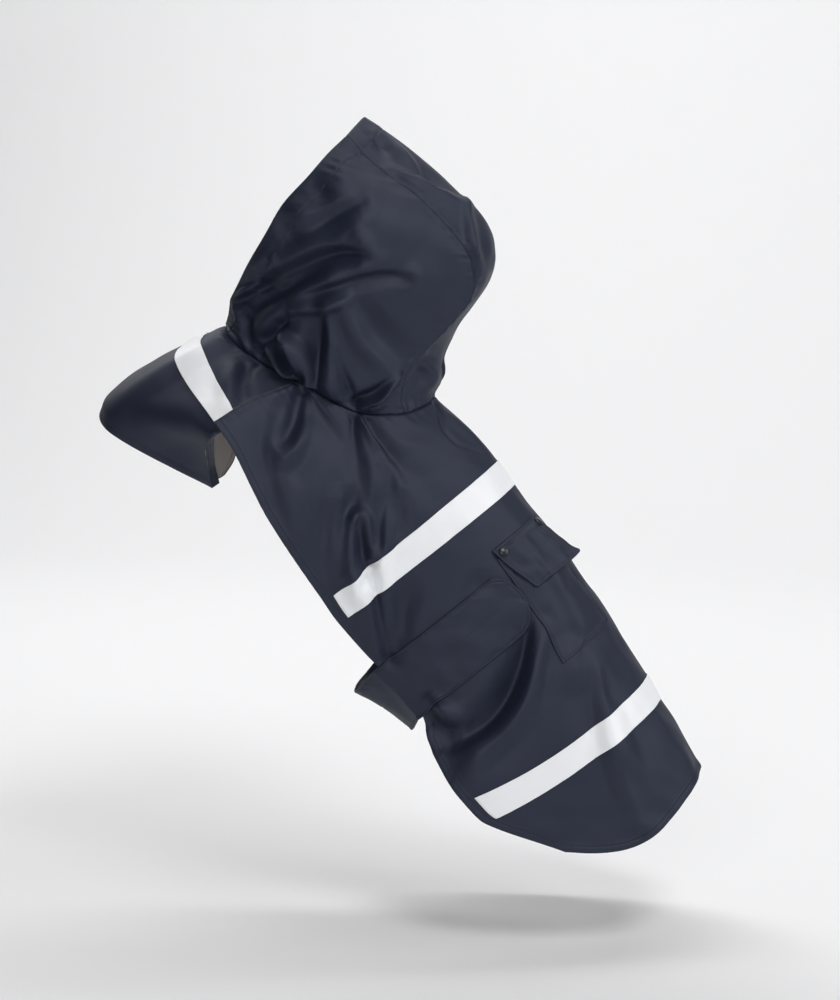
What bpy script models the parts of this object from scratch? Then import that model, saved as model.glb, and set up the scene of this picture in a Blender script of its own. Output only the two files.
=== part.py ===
"""Dog raincoat with a three-panel hood, in the hollow form that it has when it is worn.

Sizes are in millimetres, and MM turns them into metres as the meshes are made. The dog faces -X, its left
side is -Y, and the origin is the centre of the neck seam, over the withers. A place on the cape is given by
s, the distance along the back from the origin, and by c, from 0 at the centre back to 1 at the lower edge.
"""

import math
from collections import namedtuple

import bmesh
import bpy
import numpy as np
from mathutils import Vector

MM = 0.001

# Cloth and trim.
WALL = 1.5  # coated cloth, taken through its turned edges
TAPE_WALL = 1.0  # reflective tape
GAP = 0.3  # between a panel and what lies on it
SEAM = 0.8  # between the outer edges of panels sewn together: inside, on the bend, 0.3 is left of it
SIDES_APART = 0.6  # between each of the hood's sides and the middle plane, where they meet at the throat
LAP = 4.0  # how far the bib's edge goes in under the cape along the shoulder seam

# The back slopes down towards the tail at this angle below the horizontal.
BACK_SLOPE = math.radians(54.0)
ALONG = np.array([math.cos(BACK_SLOPE), 0.0, -math.sin(BACK_SLOPE)])
INWARD = np.array([-math.sin(BACK_SLOPE), 0.0, -math.cos(BACK_SLOPE)])
HALF_GIRTH = 240.0  # centre back to lower edge, measured on the cloth

# Sections of the cape square to the back. crown and depth are how far in from the straight back line the
# centre back and the lower edge lie; width is the half width, and flare is what the lower edge adds to it.
TrunkSection = namedtuple("TrunkSection", "s crown width flare depth")
TRUNK = [
    TrunkSection(-106, 8, 56, 62, 171),
    TrunkSection(-74, 6, 68, 54, 171),
    TrunkSection(-33, 3, 88, 34, 178),
    TrunkSection(0, 0, 102, 20, 183),
    TrunkSection(49, -10, 104, 12, 187),
    TrunkSection(89, -13, 104, 6, 189),
    TrunkSection(121, -13, 104, -4, 192),
    TrunkSection(178, -15, 104, -18, 189),
    TrunkSection(240, -15, 106, -22, 181),
    TrunkSection(267, -15, 108, -10, 190),
    TrunkSection(312, -12, 110, 6, 193),
    TrunkSection(350, -9, 112, 10, 190),
    TrunkSection(400, -6, 112, 10, 186),
    TrunkSection(458, 0, 110, 8, 183),
    TrunkSection(480, 2, 110, 8, 183),
]

# Cross lines of the cape below its neck line: where each one is at the centre back and at the lower edge,
# how far it bows towards the tail between them, how much of the section it spans, and how many strips of
# faces lead to it from the line before.
CapeLine = namedtuple("CapeLine", "name centre edge bow reach strips")
CAPE = [
    CapeLine("tape_upper_top", 89, 99, 0, 1.0, 9),
    CapeLine("tape_upper_foot", 118, 124, 0, 1.0, 2),
    CapeLine("flap_top", 154, 157, 0, 1.0, 2),
    CapeLine("patch_top", 163, 168, 0, 1.0, 1),
    CapeLine("strap_top", 172, 182, 0, 1.0, 1),
    CapeLine("flap_foot", 208, 217, 0, 1.0, 3),
    CapeLine("strap_foot", 233, 246, 0, 1.0, 2),
    CapeLine("patch_foot", 280, 284, 0, 1.0, 3),
    CapeLine("tape_lower_top", 351, 333, 6, 1.0, 4),
    CapeLine("tape_lower_foot", 377, 362, 4, 0.99, 2),
    CapeLine("hem", 458, 430, 26, 0.85, 6),
]

# Columns of the cape from the centre back to the lower edge. Some of them carry a seam or an edge.
POCKET_FAR = 0.10
GUSSET_FOOT = 0.21
POCKET_NEAR = 0.43
STRAP_END = 0.458
NECK_END = 0.60
HEM_STITCH = 0.975  # the turned hem is 6 mm deep, and the tapes end at it
ColumnRun = namedtuple("ColumnRun", "end strips")
COLUMN_RUNS = [
    ColumnRun(POCKET_FAR, 2),
    ColumnRun(GUSSET_FOOT, 2),
    ColumnRun(POCKET_NEAR, 4),
    ColumnRun(STRAP_END, 1),
    ColumnRun(NECK_END, 3),
    ColumnRun(HEM_STITCH, 6),
    ColumnRun(1.0, 1),
]

# Half of the neck seam, from the withers round the dog's left side to the throat.
NECK_SEAM = [
    (0, 0, 0),
    (-4, -27, -6),
    (-26, -57, -12),
    (-69, -72, -9),
    (-115, -70, 14),
    (-168, -50, 38),
    (-202, -23, 58),
    (-208, 0, 68),
]
NECK_SPLIT = 0.60  # share of that seam that the cape takes, the bib has the rest
# The shoulder seam runs from the neck seam to the cape's front tip by way of this point.
SHOULDER_MIDDLE = (-166, -95, 6)
FRONT_TIP = (-200, -118, -15)

# Cross lines of the bib, from the neck seam to its hem: ridge over the breastbone, crease beside the
# ridge, side edge on the left, the same on the right where it hangs further in, given as if it were on the
# left, and strips of faces leading to it.
BibLine = namedtuple("BibLine", "name v ridge crease side right strips")
NECK_SIDE, TAPE_SIDE, MIDDLE_SIDE = (-128, -66, 21), (-182, -107, -3), (-211, -101, -41)
BIB = [
    BibLine("neck", 0.0, (-208, 0, 68), (-192, -36, 50), NECK_SIDE, NECK_SIDE, 0),
    BibLine("tape_top", 0.18, (-228, 0, 59), (-225, -41, 46), TAPE_SIDE, TAPE_SIDE, 5),
    BibLine("tape_foot", 0.34, (-248, 0, 50), (-248, -48, 31), FRONT_TIP, FRONT_TIP, 2),
    BibLine("middle", 0.62, (-291, 0, 27), (-283, -58, 8), MIDDLE_SIDE, MIDDLE_SIDE, 3),
    BibLine("low", 0.87, (-327, 0, 0), (-310, -60, -17), (-215, -66, -69), (-214, -50, -76), 3),
    BibLine("hem", 1.0, (-336, 0, -19), (-313, -60, -35), (-216, -46, -90), (-223, -30, -90), 2),
]
BIB_LINE = {line.name: line for line in BIB}
BIB_CREASE = 0.38  # where along a cross line the crease comes, from ridge to side
BIB_IN = 0.95  # from here to its side edge the bib goes in under the cape
BIB_STRIPS = 9  # from the ridge to there
# Below the cape that last strip is the bib's free rear edge, which turns in behind the side given above.
REAR_TURN = (7, 5, 5)  # its reach back, inward and up
REAR_FREE = 0.2  # share of the bib over which it comes free of the cape

# Rings of the hood from the neck seam (level 0) to the brow (level 1): centre back or crown, gusset seam,
# fullest point of the side, and face edge.
HoodRing = namedtuple("HoodRing", "level crown seam side edge")
HOOD = [
    HoodRing(0.0, (0, 0, 0), (-26, -57, -12), (-115, -70, 14), (-208, 0, 68)),
    HoodRing(0.07, (3, 0, 14), (-27, -56, 6), (-114, -76, 30), (-206, -1, 79)),
    HoodRing(0.16, (12, 0, 36), (-18, -53, 32), (-106, -82, 54), (-200, -18, 95)),
    HoodRing(0.30, (29, 0, 68), (14, -46, 68), (-92, -88, 84), (-188, -37, 116)),
    HoodRing(0.44, (52, 0, 108), (40, -44, 100), (-76, -92, 116), (-172, -56, 140)),
    HoodRing(0.57, (60, 0, 141), (42, -47, 132), (-66, -92, 148), (-156, -68, 164)),
    HoodRing(0.70, (50, 0, 174), (28, -51, 158), (-64, -88, 180), (-138, -72, 192)),
    HoodRing(0.84, (10, 0, 215), (-8, -52, 196), (-74, -76, 210), (-112, -65, 221)),
    HoodRing(0.94, (-34, 0, 250), (-50, -48, 226), (-84, -58, 236), (-95, -52, 242)),
    HoodRing(1.0, (-69, 0, 274), (-81, -42, 256), (-81, -42, 256), (-81, -42, 256)),
]
HOOD_STRIPS = 24
HOOD_SETTLE = 0.30  # below this level the rings give way to the shape of the neck seam
HOOD_TIP_SHARE = 0.8  # of its last strip, that a side panel's tip reaches beside the gusset

# Folds: a ridge (height above 0) or a trough along a straight stretch of a piece's own plane, fading out
# over its width. side is -1 on the dog's left, 1 on its right and 0 on both. On the cape the plane is s and
# the distance from the centre back; on the hood and the bib it is x and z.
Fold = namedtuple("Fold", "side start end width height")
CAPE_FOLDS = [
    # crescent under the throat fold, and the folds that fan out from the pinch in the neck seam
    Fold(-1, (-72, 140), (-46, 176), 12, 8),
    Fold(-1, (-46, 176), (-38, 214), 13, 7),
    Fold(-1, (-52, 122), (-20, 160), 12, -5),
    Fold(-1, (-24, 92), (34, 133), 12, -6),
    Fold(-1, (-14, 108), (24, 168), 12, 7),
    # cluster above the upper tape, and the sharp trough that crosses it
    Fold(-1, (16, 165), (46, 180), 12, 7),
    Fold(-1, (46, 180), (92, 224), 12, 8),
    Fold(-1, (66, 186), (112, 208), 11, -6),
    Fold(-1, (60, 170), (108, 190), 11, 6),
    Fold(-1, (118, 204), (168, 226), 11, -6),
    # folds that the belly strap pulls into the flank
    Fold(-1, (256, 128), (278, 156), 12, -8),
    Fold(-1, (278, 156), (284, 212), 12, -8),
    Fold(-1, (264, 104), (304, 170), 14, 7),
    Fold(-1, (250, 214), (268, 206), 11, 5),
    # soft ridge over the haunch, through the lower tape
    Fold(-1, (292, 74), (359, 112), 16, 6),
    Fold(-1, (359, 112), (440, 158), 18, 7),
    Fold(-1, (330, 150), (420, 190), 15, -5),
    # the right side, where the same pulls fold it a little otherwise
    Fold(1, (-54, 142), (-34, 188), 13, 7),
    Fold(1, (-18, 96), (48, 128), 12, -6),
    Fold(1, (20, 156), (88, 214), 13, 8),
    Fold(1, (52, 190), (112, 218), 12, -5),
    Fold(1, (124, 196), (168, 222), 12, -5),
    Fold(1, (256, 140), (288, 208), 13, -7),
    Fold(1, (262, 110), (312, 176), 14, 7),
    Fold(1, (300, 60), (380, 104), 17, 6),
    Fold(1, (380, 104), (446, 140), 18, 6),
]
HOOD_FOLDS = [
    # soft bulges over the ear
    Fold(-1, (-62, 150), (-56, 192), 20, 9),
    Fold(-1, (-24, 122), (-56, 134), 16, 6),
    # folds from the cheek to the back of the head
    Fold(-1, (-164, 106), (-104, 118), 12, -6),
    Fold(-1, (-136, 84), (-80, 96), 14, 9),
    Fold(-1, (-150, 66), (-104, 70), 11, -5),
    # twisted fold at the side of the throat
    Fold(-1, (-149, 58), (-126, 56), 11, 9),
    Fold(-1, (-126, 56), (-115, 26), 12, 12),
    Fold(-1, (-191, 98), (-184, 54), 11, -5),
    # the hood hangs over its neck seam behind
    Fold(-1, (-34, 24), (-64, 6), 12, 7),
    # the right side
    Fold(1, (-66, 146), (-60, 194), 20, 9),
    Fold(1, (-30, 116), (-62, 130), 16, 5),
    Fold(1, (-160, 100), (-96, 116), 13, -6),
    Fold(1, (-140, 80), (-84, 90), 14, 9),
    Fold(1, (-140, 58), (-112, 28), 13, 11),
    Fold(1, (-188, 96), (-180, 56), 11, -5),
    Fold(1, (-36, 26), (-70, 6), 12, 6),
]
BIB_FOLDS = [
    Fold(-1, (-182, 34), (-192, 2), 10, -4),
    Fold(1, (-178, 30), (-190, -2), 10, -4),
]
FOLD_FADE = 18.0  # folds die out over this distance before a seam
FOLD_AT_FACE = 6.0  # at the hood's face edge they have died out as far as they do at this distance

# Pocket, strap and snaps.
PATCH_BULGE = 7.0
PATCH_FULLNESS = 0.8  # power of the bulge's curve: below 1, it rises steeply from the side seams
PATCH_HEAD = 0.12  # share of the bulge's curve that lies above the patch's top edge
FLAP_OVER = 0.015  # how far the flap passes the patch on each side, as a share of the half girth
FLAP_CORNER_LIFT = 14.0
STRAP_CORNER = 0.09  # length of the strap's round end, as a share of the half girth
STRAP_ROUNDING = 0.92  # below 1, the sides of the round end stop short of square to its tip
STRAP_END_REACH = 2.2  # the end's rounding fades out over this many lengths of it
STRAP_END_LIFT = 1.0  # the round end stands off the flank a little
STRAP_DROP = 34.0  # the strap's lowest line below the cape's lower edge
STRAP_TWIST = 8.0  # the strap's front edge hangs lower than that, its rear edge higher
STRAP_DRIFT = 9.0  # it runs towards the tail under the belly
STRAP_LAP_STRIPS = 2  # columns of the right flank that the strap's sewn end covers on the inside
STRAP_RUN_OUT = 5.0  # straight run of the strap past the cape's lower edge, before it bends under
STRAP_UNDER_STRIPS = 16  # strips of faces from flank to flank under the belly
STRAP_BEND_OUT = 0.6  # where its two bends under the belly come, from the middle to the lower edge
STRAP_BEND_RISE = 0.2  # how far they lie above its lowest line, as a share of the drop
SNAP_RADIUS = 4.8
SNAP_SEAT = 0.6  # under the middle of the cap, whose flat foot spans the flap's curve
SNAP_HEIGHT = 2.6
SNAP_RIM = 0.9  # height of its straight side
SNAP_STEPS = 5  # of its dome
SNAP_SIDES = 16


# ---- curves and tables ------------------------------------------------------------------------------------


def hermite(xs, ys, at):
    """Smooth curve through the values ys, which stand at the places xs."""
    i = min(max(np.searchsorted(xs, at) - 1, 0), len(xs) - 2)

    def slope(k):
        low, high = max(k - 1, 0), min(k + 1, len(xs) - 1)
        return (ys[high] - ys[low]) / (xs[high] - xs[low])

    span = xs[i + 1] - xs[i]
    t = min(max((at - xs[i]) / span, 0.0), 1.0)
    return (
        (1 + 2 * t) * (1 - t) ** 2 * ys[i]
        + t * (1 - t) ** 2 * span * slope(i)
        + t * t * (3 - 2 * t) * ys[i + 1]
        + t * t * (t - 1) * span * slope(i + 1)
    )


def read(rows, key, column, at):
    """One column of a table, read smoothly between its rows."""
    xs = [getattr(row, key) for row in rows]
    ys = [np.array(getattr(row, column), dtype=float) for row in rows]
    return hermite(xs, ys, at)


def curve_through(points, share):
    """Point at a share of the length of the smooth curve through a few points."""
    points = [np.array(p, dtype=float) for p in points]
    steps = [np.linalg.norm(b - a) for a, b in zip(points, points[1:])]
    places = np.concatenate(([0.0], np.cumsum(steps)))
    return hermite(list(places / places[-1]), points, share)


def ease(t):
    t = min(max(t, 0.0), 1.0)
    return t * t * (3 - 2 * t)


def mirrored(point, side):
    """The point on the dog's left (side -1) as it is, or its mirror image on the right (side 1)."""
    return np.array([point[0], -side * point[1], point[2]])


def runs(stops, first=0.0):
    """Evenly spaced values up to each stop in turn: stops holds pairs of an end value and its strips."""
    values = [first]
    for end, strips in stops:
        start = values[-1]
        values += [start + (end - start) * (k + 1) / strips for k in range(strips)]
    return values


def fold_lift(folds, side, a, b):
    """How far the folds raise one place of a piece's own plane."""
    total = 0.0
    for fold in folds:
        if fold.side not in (side, 0):
            continue
        start, end, place = np.array(fold.start), np.array(fold.end), np.array((a, b))
        run = end - start
        share = min(max(np.dot(place - start, run) / np.dot(run, run), 0.0), 1.0)
        distance = np.linalg.norm(place - start - share * run)
        total += fold.height * math.exp(-((distance / fold.width) ** 2))
    return total


# ---- grids of points --------------------------------------------------------------------------------------


def normals(grid, inside):
    """Unit normals of a grid of points, turned away from a point in the hollow."""
    down = np.gradient(grid, axis=0)
    across = np.gradient(grid, axis=1)
    normal = np.cross(down, across)
    length = np.linalg.norm(normal, axis=2, keepdims=True)
    normal = normal / np.maximum(length, 1e-9)
    if np.sum(normal * (grid - inside)) < 0:
        normal = -normal
    return normal


def seam_allowance(grid, row=None, column=None):
    """Draws one border of a grid back along its cloth by half of the gap at a seam."""
    border, inner = (row, 1 if row == 0 else -2) if row is not None else (column, 1 if column == 0 else -2)
    edge = grid[border] if row is not None else grid[:, border]
    nxt = grid[inner] if row is not None else grid[:, inner]
    step = nxt - edge
    length = np.maximum(np.linalg.norm(step, axis=1, keepdims=True), 1e-9)
    edge += step / length * np.minimum(SEAM / 2, 0.5 * length)


# ---- neck and shoulder seams ------------------------------------------------------------------------------


def neck_point(turn):
    """Point of the neck seam on the dog's left: turn 0 at the withers, 1 at the throat."""
    return curve_through(NECK_SEAM, turn)


def shoulder_point(share):
    """Point of the left shoulder seam, from the neck seam to the cape's front tip."""
    return curve_through([neck_point(NECK_SPLIT), SHOULDER_MIDDLE, FRONT_TIP], share)


# ---- cape -------------------------------------------------------------------------------------------------

CAPE_COLUMNS = runs([(run.end, run.strips) for run in COLUMN_RUNS])
LINE_ROW = {line.name: sum(before.strips for before in CAPE[: k + 1]) for k, line in enumerate(CAPE)}
TRUNK_INSIDE = ALONG * 200 + INWARD * 110


def trunk_point(s, turn):
    """Point of the trunk form on the dog's left: turn 0 at the centre back, 1 at the lower edge."""
    crown = read(TRUNK, "s", "crown", s)
    depth = read(TRUNK, "s", "depth", s)
    width = read(TRUNK, "s", "width", s)
    flare = read(TRUNK, "s", "flare", s)
    angle = turn * math.pi / 2
    half = width * math.sin(angle) + flare * turn**3
    return ALONG * s + INWARD * (crown + (depth - crown) * (1 - math.cos(angle))) + np.array([0, -half, 0])


def front_line(c):
    """Point of the cape's front border: the neck seam, then the shoulder seam."""
    if c <= NECK_END:
        return neck_point(NECK_SPLIT * c / NECK_END)
    return shoulder_point((c - NECK_END) / (1 - NECK_END))


def turn_at(point):
    """Turn of the trunk form at a point's distance along and in from the back line."""
    s = np.dot(point, ALONG)
    crown = read(TRUNK, "s", "crown", s)
    depth = read(TRUNK, "s", "depth", s)
    share = (np.dot(point, INWARD) - crown) / (depth - crown)
    return math.acos(1 - min(max(share, 0.0), 1.0)) * 2 / math.pi


def cape_line_point(line, c):
    """s and turn of a cross line of the cape at column c."""
    s = line.centre + (line.edge - line.centre) * c * c + line.bow * math.sin(math.pi * c * c)
    return s, line.reach * c


def cape_half(side):
    """Half of the cape's points, from the centre back to the lower edge, before its folds, with the
    distance along the back of each."""
    rows = [[front_line(c) for c in CAPE_COLUMNS]]
    first = CAPE[0]
    for k in range(first.strips):
        t = (k + 1) / first.strips
        row = []
        for c, start in zip(CAPE_COLUMNS, rows[0]):
            s_start, turn_start = np.dot(start, ALONG), turn_at(start)
            s_end, turn_end = cape_line_point(first, c)
            correction = start - trunk_point(s_start, turn_start)
            turn = turn_start + ease(t) * (turn_end - turn_start)
            row.append(trunk_point(s_start + t * (s_end - s_start), turn) + (1 - t) ** 2 * correction)
        rows.append(row)
    for before, line in zip(CAPE, CAPE[1:]):
        for k in range(line.strips):
            t = (k + 1) / line.strips
            row = []
            for c in CAPE_COLUMNS:
                s, turn = (1 - t) * np.array(cape_line_point(before, c)) + t * np.array(cape_line_point(line, c))
                row.append(trunk_point(s, turn))
            rows.append(row)
    grid = np.array(rows)
    grid[:, :, 1] *= -side
    return grid


def cape_grid():
    """All the cape's points with their folds, left edge first, and their outward normals."""
    left, right = cape_half(-1), cape_half(1)
    grid = np.concatenate([left[:, ::-1], right[:, 1:]], axis=1)
    columns = [-c for c in reversed(CAPE_COLUMNS)] + CAPE_COLUMNS[1:]
    normal = normals(grid, TRUNK_INSIDE)
    lifted = grid.copy()
    for i in range(grid.shape[0]):
        for j, c in enumerate(columns):
            side = -1 if c < 0 else 1
            fade = ease(np.linalg.norm(grid[i, j] - grid[0, j]) / FOLD_FADE)
            place = (np.dot(grid[i, j], ALONG), abs(c) * HALF_GIRTH)
            lifted[i, j] += normal[i, j] * fade * fold_lift(CAPE_FOLDS, side, *place)
    seam_allowance(lifted, row=0)
    return lifted, normals(lifted, TRUNK_INSIDE), columns


# ---- bib --------------------------------------------------------------------------------------------------

BIB_COLUMNS = runs([(BIB_IN, BIB_STRIPS), (1.0, 1)])
BIB_INSIDE = np.array([-215.0, 0.0, -60.0])


def bib_line_point(v, u, side):
    """Point of a cross line of the bib, as if on the dog's left: u is 0 on the ridge and 1 at the side edge."""
    ridge, crease, edge = (read(BIB, "v", name, v) for name in ("ridge", "crease", "side" if side < 0 else "right"))
    return hermite([-BIB_CREASE, 0.0, BIB_CREASE, 1.0], [mirrored(crease, 1), ridge, crease, edge], u)


def lap_points(cape, side):
    """Points just inside the cape, behind its front border, to which the bib's edge is sewn."""
    points, normal, columns = cape
    lapped = []
    for c in CAPE_COLUMNS[CAPE_COLUMNS.index(NECK_END) :]:
        j = columns.index(side * c)
        back = points[1, j] - points[0, j]
        lapped.append(points[0, j] + back / np.linalg.norm(back) * LAP - normal[0, j] * (WALL + 2 * GAP))
    return lapped


def bib_half(cape, side):
    """Half of the bib's points, from the ridge to the side edge, before its folds."""
    lapped = lap_points(cape, side)
    shoulder_end = BIB_LINE["tape_foot"].v
    grid = []
    for i, v in enumerate(runs([(line.v, line.strips) for line in BIB[1:]])):
        settle = max(0.0, 1 - v / shoulder_end) ** 2
        free = ease((v - shoulder_end) / REAR_FREE)
        row = []
        for u in BIB_COLUMNS:
            across = u + free * (min(u / BIB_IN, 1.0) - u)
            turned = free * max(0.0, u - BIB_IN) / (1 - BIB_IN)
            to_neck = neck_point(1 - (1 - NECK_SPLIT) * u) - bib_line_point(0.0, u, side)
            point = bib_line_point(v, across, side) + settle * to_neck + turned * np.array(REAR_TURN)
            row.append(mirrored(point, side))
        if i < len(lapped):
            pull = lapped[i] - row[-1]
            row = [point + u**3 * pull for u, point in zip(BIB_COLUMNS, row)]
        grid.append(row)
    return np.array(grid)


def bib_grid(cape):
    """All the bib's points with their folds, left side first, and their outward normals."""
    left, right = bib_half(cape, -1), bib_half(cape, 1)
    grid = np.concatenate([left[:, ::-1], right[:, 1:]], axis=1)
    normal = normals(grid, BIB_INSIDE)
    lifted = grid.copy()
    ridge = len(BIB_COLUMNS) - 1
    for i in range(grid.shape[0]):
        for j in range(grid.shape[1]):
            side = -1 if j < ridge else 1
            border = grid[i, 0] if side < 0 else grid[i, -1]
            reach = min(np.linalg.norm(grid[i, j] - border), np.linalg.norm(grid[i, j] - grid[0, j]))
            lift = fold_lift(BIB_FOLDS, side, grid[i, j, 0], grid[i, j, 2])
            lifted[i, j] += normal[i, j] * ease(reach / FOLD_FADE) * lift
    seam_allowance(lifted, row=0)
    return lifted, normals(lifted, BIB_INSIDE)


# ---- hood -------------------------------------------------------------------------------------------------

HOOD_INSIDE = np.array([-90.0, 0.0, 110.0])
GUSSET_TURN = NECK_SPLIT * GUSSET_FOOT / NECK_END


def ring_turns():
    """Neck-seam turns at which the hood has its columns: those of the cape, then those of the bib."""
    cape = [NECK_SPLIT * c / NECK_END for c in CAPE_COLUMNS if c <= NECK_END + 1e-9]
    bib = [1 - (1 - NECK_SPLIT) * u for u in reversed(BIB_COLUMNS[:-1])]
    return cape + bib


def ring_point(level, turn):
    """Point of a hood ring as the table gives it: its gusset seam comes at GUSSET_TURN of the neck seam."""
    crown, seam, side, edge = (read(HOOD, "level", column, level) for column in ("crown", "seam", "side", "edge"))
    spans = [np.linalg.norm(b - a) for a, b in ((crown, seam), (seam, side), (side, edge))]
    back, front, rim = (max(span, 0.001) for span in spans)
    places = [-back, 0.0, back, back + front, back + front + rim]
    if turn <= GUSSET_TURN:
        place = back * turn / GUSSET_TURN
    else:
        place = back + (front + rim) * (turn - GUSSET_TURN) / (1 - GUSSET_TURN)
    return hermite(places, [mirrored(seam, 1), crown, seam, side, edge], place)


def hood_point(level, turn):
    """Point of the hood on the dog's left, before its folds: its lowest rings settle on the neck seam."""
    point = ring_point(level, turn)
    if level < HOOD_SETTLE:
        point = point + (1 - level / HOOD_SETTLE) ** 2 * (neck_point(turn) - ring_point(0.0, turn))
    return point


def hood_levels():
    return [k / HOOD_STRIPS for k in range(HOOD_STRIPS + 1)]


def hood_half(turns, side):
    grid = np.array([[hood_point(level, turn) for turn in turns] for level in hood_levels()])
    grid[:, :, 1] *= -side
    return grid


def hood_side_grid(side):
    """Points of a side panel of the hood, gusset seam first."""
    turns = [turn for turn in ring_turns() if turn >= GUSSET_TURN - 1e-9]
    grid = hood_half(turns, side)
    normal = normals(grid, HOOD_INSIDE)
    lifted = grid.copy()
    for i in range(grid.shape[0]):
        for j in range(grid.shape[1]):
            point = grid[i, j]
            from_seam, from_neck = np.linalg.norm(point - grid[i, 0]), np.linalg.norm(point - grid[0, j])
            reach = min(from_seam, from_neck, np.linalg.norm(point - grid[i, -1]) + FOLD_AT_FACE)
            lift = ease(reach / FOLD_FADE) * fold_lift(HOOD_FOLDS, side, point[0], point[2])
            lifted[i, j] += normal[i, j] * lift
    seam_allowance(lifted, row=0)
    seam_allowance(lifted, column=0)
    lifted[:, -1, 1] = side * np.maximum(side * lifted[:, -1, 1], SIDES_APART)
    lifted[-1] = lifted[-2, 0] + HOOD_TIP_SHARE * (grid[-1, 0] - grid[-2, 0])
    return lifted


def gusset_grid():
    """Points of the gusset, left seam first."""
    turns = [turn for turn in ring_turns() if turn <= GUSSET_TURN + 1e-9]
    left, right = hood_half(turns, -1), hood_half(turns, 1)
    grid = np.concatenate([left[:, ::-1], right[:, 1:]], axis=1)
    seam_allowance(grid, row=0)
    seam_allowance(grid, column=0)
    seam_allowance(grid, column=-1)
    return grid


# ---- meshes and materials ---------------------------------------------------------------------------------


def linear(value):
    return value / 12.92 if value <= 0.04045 else ((value + 0.055) / 1.055) ** 2.4


def material(name, srgb, roughness, metallic=0.0):
    """Principled material in an sRGB colour, such as 0x2a2e3a."""
    made = bpy.data.materials.new(name)
    made.use_nodes = True
    shader = made.node_tree.nodes["Principled BSDF"]
    channels = [(srgb >> shift & 255) / 255 for shift in (16, 8, 0)]
    shader.inputs["Base Color"].default_value = (*(linear(c) for c in channels), 1)
    shader.inputs["Roughness"].default_value = roughness
    shader.inputs["Metallic"].default_value = metallic
    return made


def add_wall(name, grid, wall, outward, inside, finish, collection):
    """One cloth wall: the grid's faces, thickened outwards or into the hollow."""
    mesh = bpy.data.meshes.new(name)
    form = bmesh.new()
    corners = [[form.verts.new(Vector(point) * MM) for point in row] for row in grid]
    for above, below in zip(corners, corners[1:]):
        for a, b, c, d in zip(above, above[1:], below[1:], below):
            form.faces.new((a, b, c))
            form.faces.new((a, c, d))
    bmesh.ops.remove_doubles(form, verts=form.verts, dist=0.01 * MM)
    bmesh.ops.dissolve_degenerate(form, edges=form.edges, dist=0.005 * MM)
    form.normal_update()
    centre = Vector(inside) * MM
    if sum(face.normal.dot(face.calc_center_median() - centre) for face in form.faces) < 0:
        bmesh.ops.reverse_faces(form, faces=form.faces)
    form.to_mesh(mesh)
    form.free()
    mesh.shade_smooth()
    piece = bpy.data.objects.new(name, mesh)
    collection.objects.link(piece)
    mesh.materials.append(finish)
    thickness = piece.modifiers.new("wall", "SOLIDIFY")
    thickness.thickness = wall * MM
    thickness.offset = 1.0 if outward else -1.0
    return piece


def add_snap(name, seat, normal, finish, collection):
    """Domed press-stud cap, a turned profile standing on its seat."""
    mesh = bpy.data.meshes.new(name)
    profile = [(0.0, 0.0), (SNAP_RADIUS, 0.0), (SNAP_RADIUS, SNAP_RIM)]
    for k in range(1, SNAP_STEPS + 1):
        angle = k * math.pi / 2 / SNAP_STEPS
        profile.append((SNAP_RADIUS * math.cos(angle), SNAP_RIM + (SNAP_HEIGHT - SNAP_RIM) * math.sin(angle)))
    profile[-1] = (0.0, SNAP_HEIGHT)
    profile.reverse()
    mesh.from_pydata([(x * MM, 0, z * MM) for x, z in profile], [(k, k + 1) for k in range(len(profile) - 1)], [])
    cap = bpy.data.objects.new(name, mesh)
    collection.objects.link(cap)
    mesh.materials.append(finish)
    turned = cap.modifiers.new("turned", "SCREW")
    turned.steps = turned.render_steps = SNAP_SIDES
    turned.use_merge_vertices = True
    turned.merge_threshold = 0.00001
    turned.use_smooth_shade = True
    cap.location = Vector(seat) * MM
    cap.rotation_mode = "QUATERNION"
    cap.rotation_quaternion = Vector(normal).to_track_quat("Z", "Y")
    return cap


# ---- what lies on the cape --------------------------------------------------------------------------------


def cape_place(cape, row, c):
    """Point and normal on the cape at one of its rows, between two columns where c is no column."""
    points, normal, columns = cape
    j = min(max(int(np.searchsorted(columns, c)) - 1, 0), len(columns) - 2)
    t = (c - columns[j]) / (columns[j + 1] - columns[j])
    n = (1 - t) * normal[row, j] + t * normal[row, j + 1]
    return (1 - t) * points[row, j] + t * points[row, j + 1], n / np.linalg.norm(n)


def tape_grid(points, normal, first, last):
    """Points of a tape laid on a panel between two of its rows, to the last column before each side edge."""
    rows = slice(first, last + 1)
    return (points + GAP * normal)[rows, 1:-1]


def pocket_columns():
    """The left half's columns under the patch, in the cape's own order, as every laid piece has them."""
    return [-c for c in reversed(CAPE_COLUMNS) if POCKET_FAR - 1e-9 <= c <= POCKET_NEAR + 1e-9]


def patch_bulge(along, across):
    """How far the filled patch stands off the back: 0 at its sewn edges."""
    rise = math.sin(math.pi * min(max(across, 0.0), 1.0)) ** PATCH_FULLNESS
    down = PATCH_HEAD + (1 - PATCH_HEAD) * min(max(along, 0.0), 1.0)
    return PATCH_BULGE * rise * math.sin(math.pi * down)


def patch_grid(cape):
    first, last = LINE_ROW["patch_top"], LINE_ROW["patch_foot"]
    columns = pocket_columns()
    grid = []
    for row in range(first, last + 1):
        along = (row - first) / (last - first)
        line = []
        for k, c in enumerate(columns):
            point, normal = cape_place(cape, row, c)
            line.append(point + normal * (GAP + patch_bulge(along, k / (len(columns) - 1))))
        grid.append(line)
    return np.array(grid)


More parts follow.
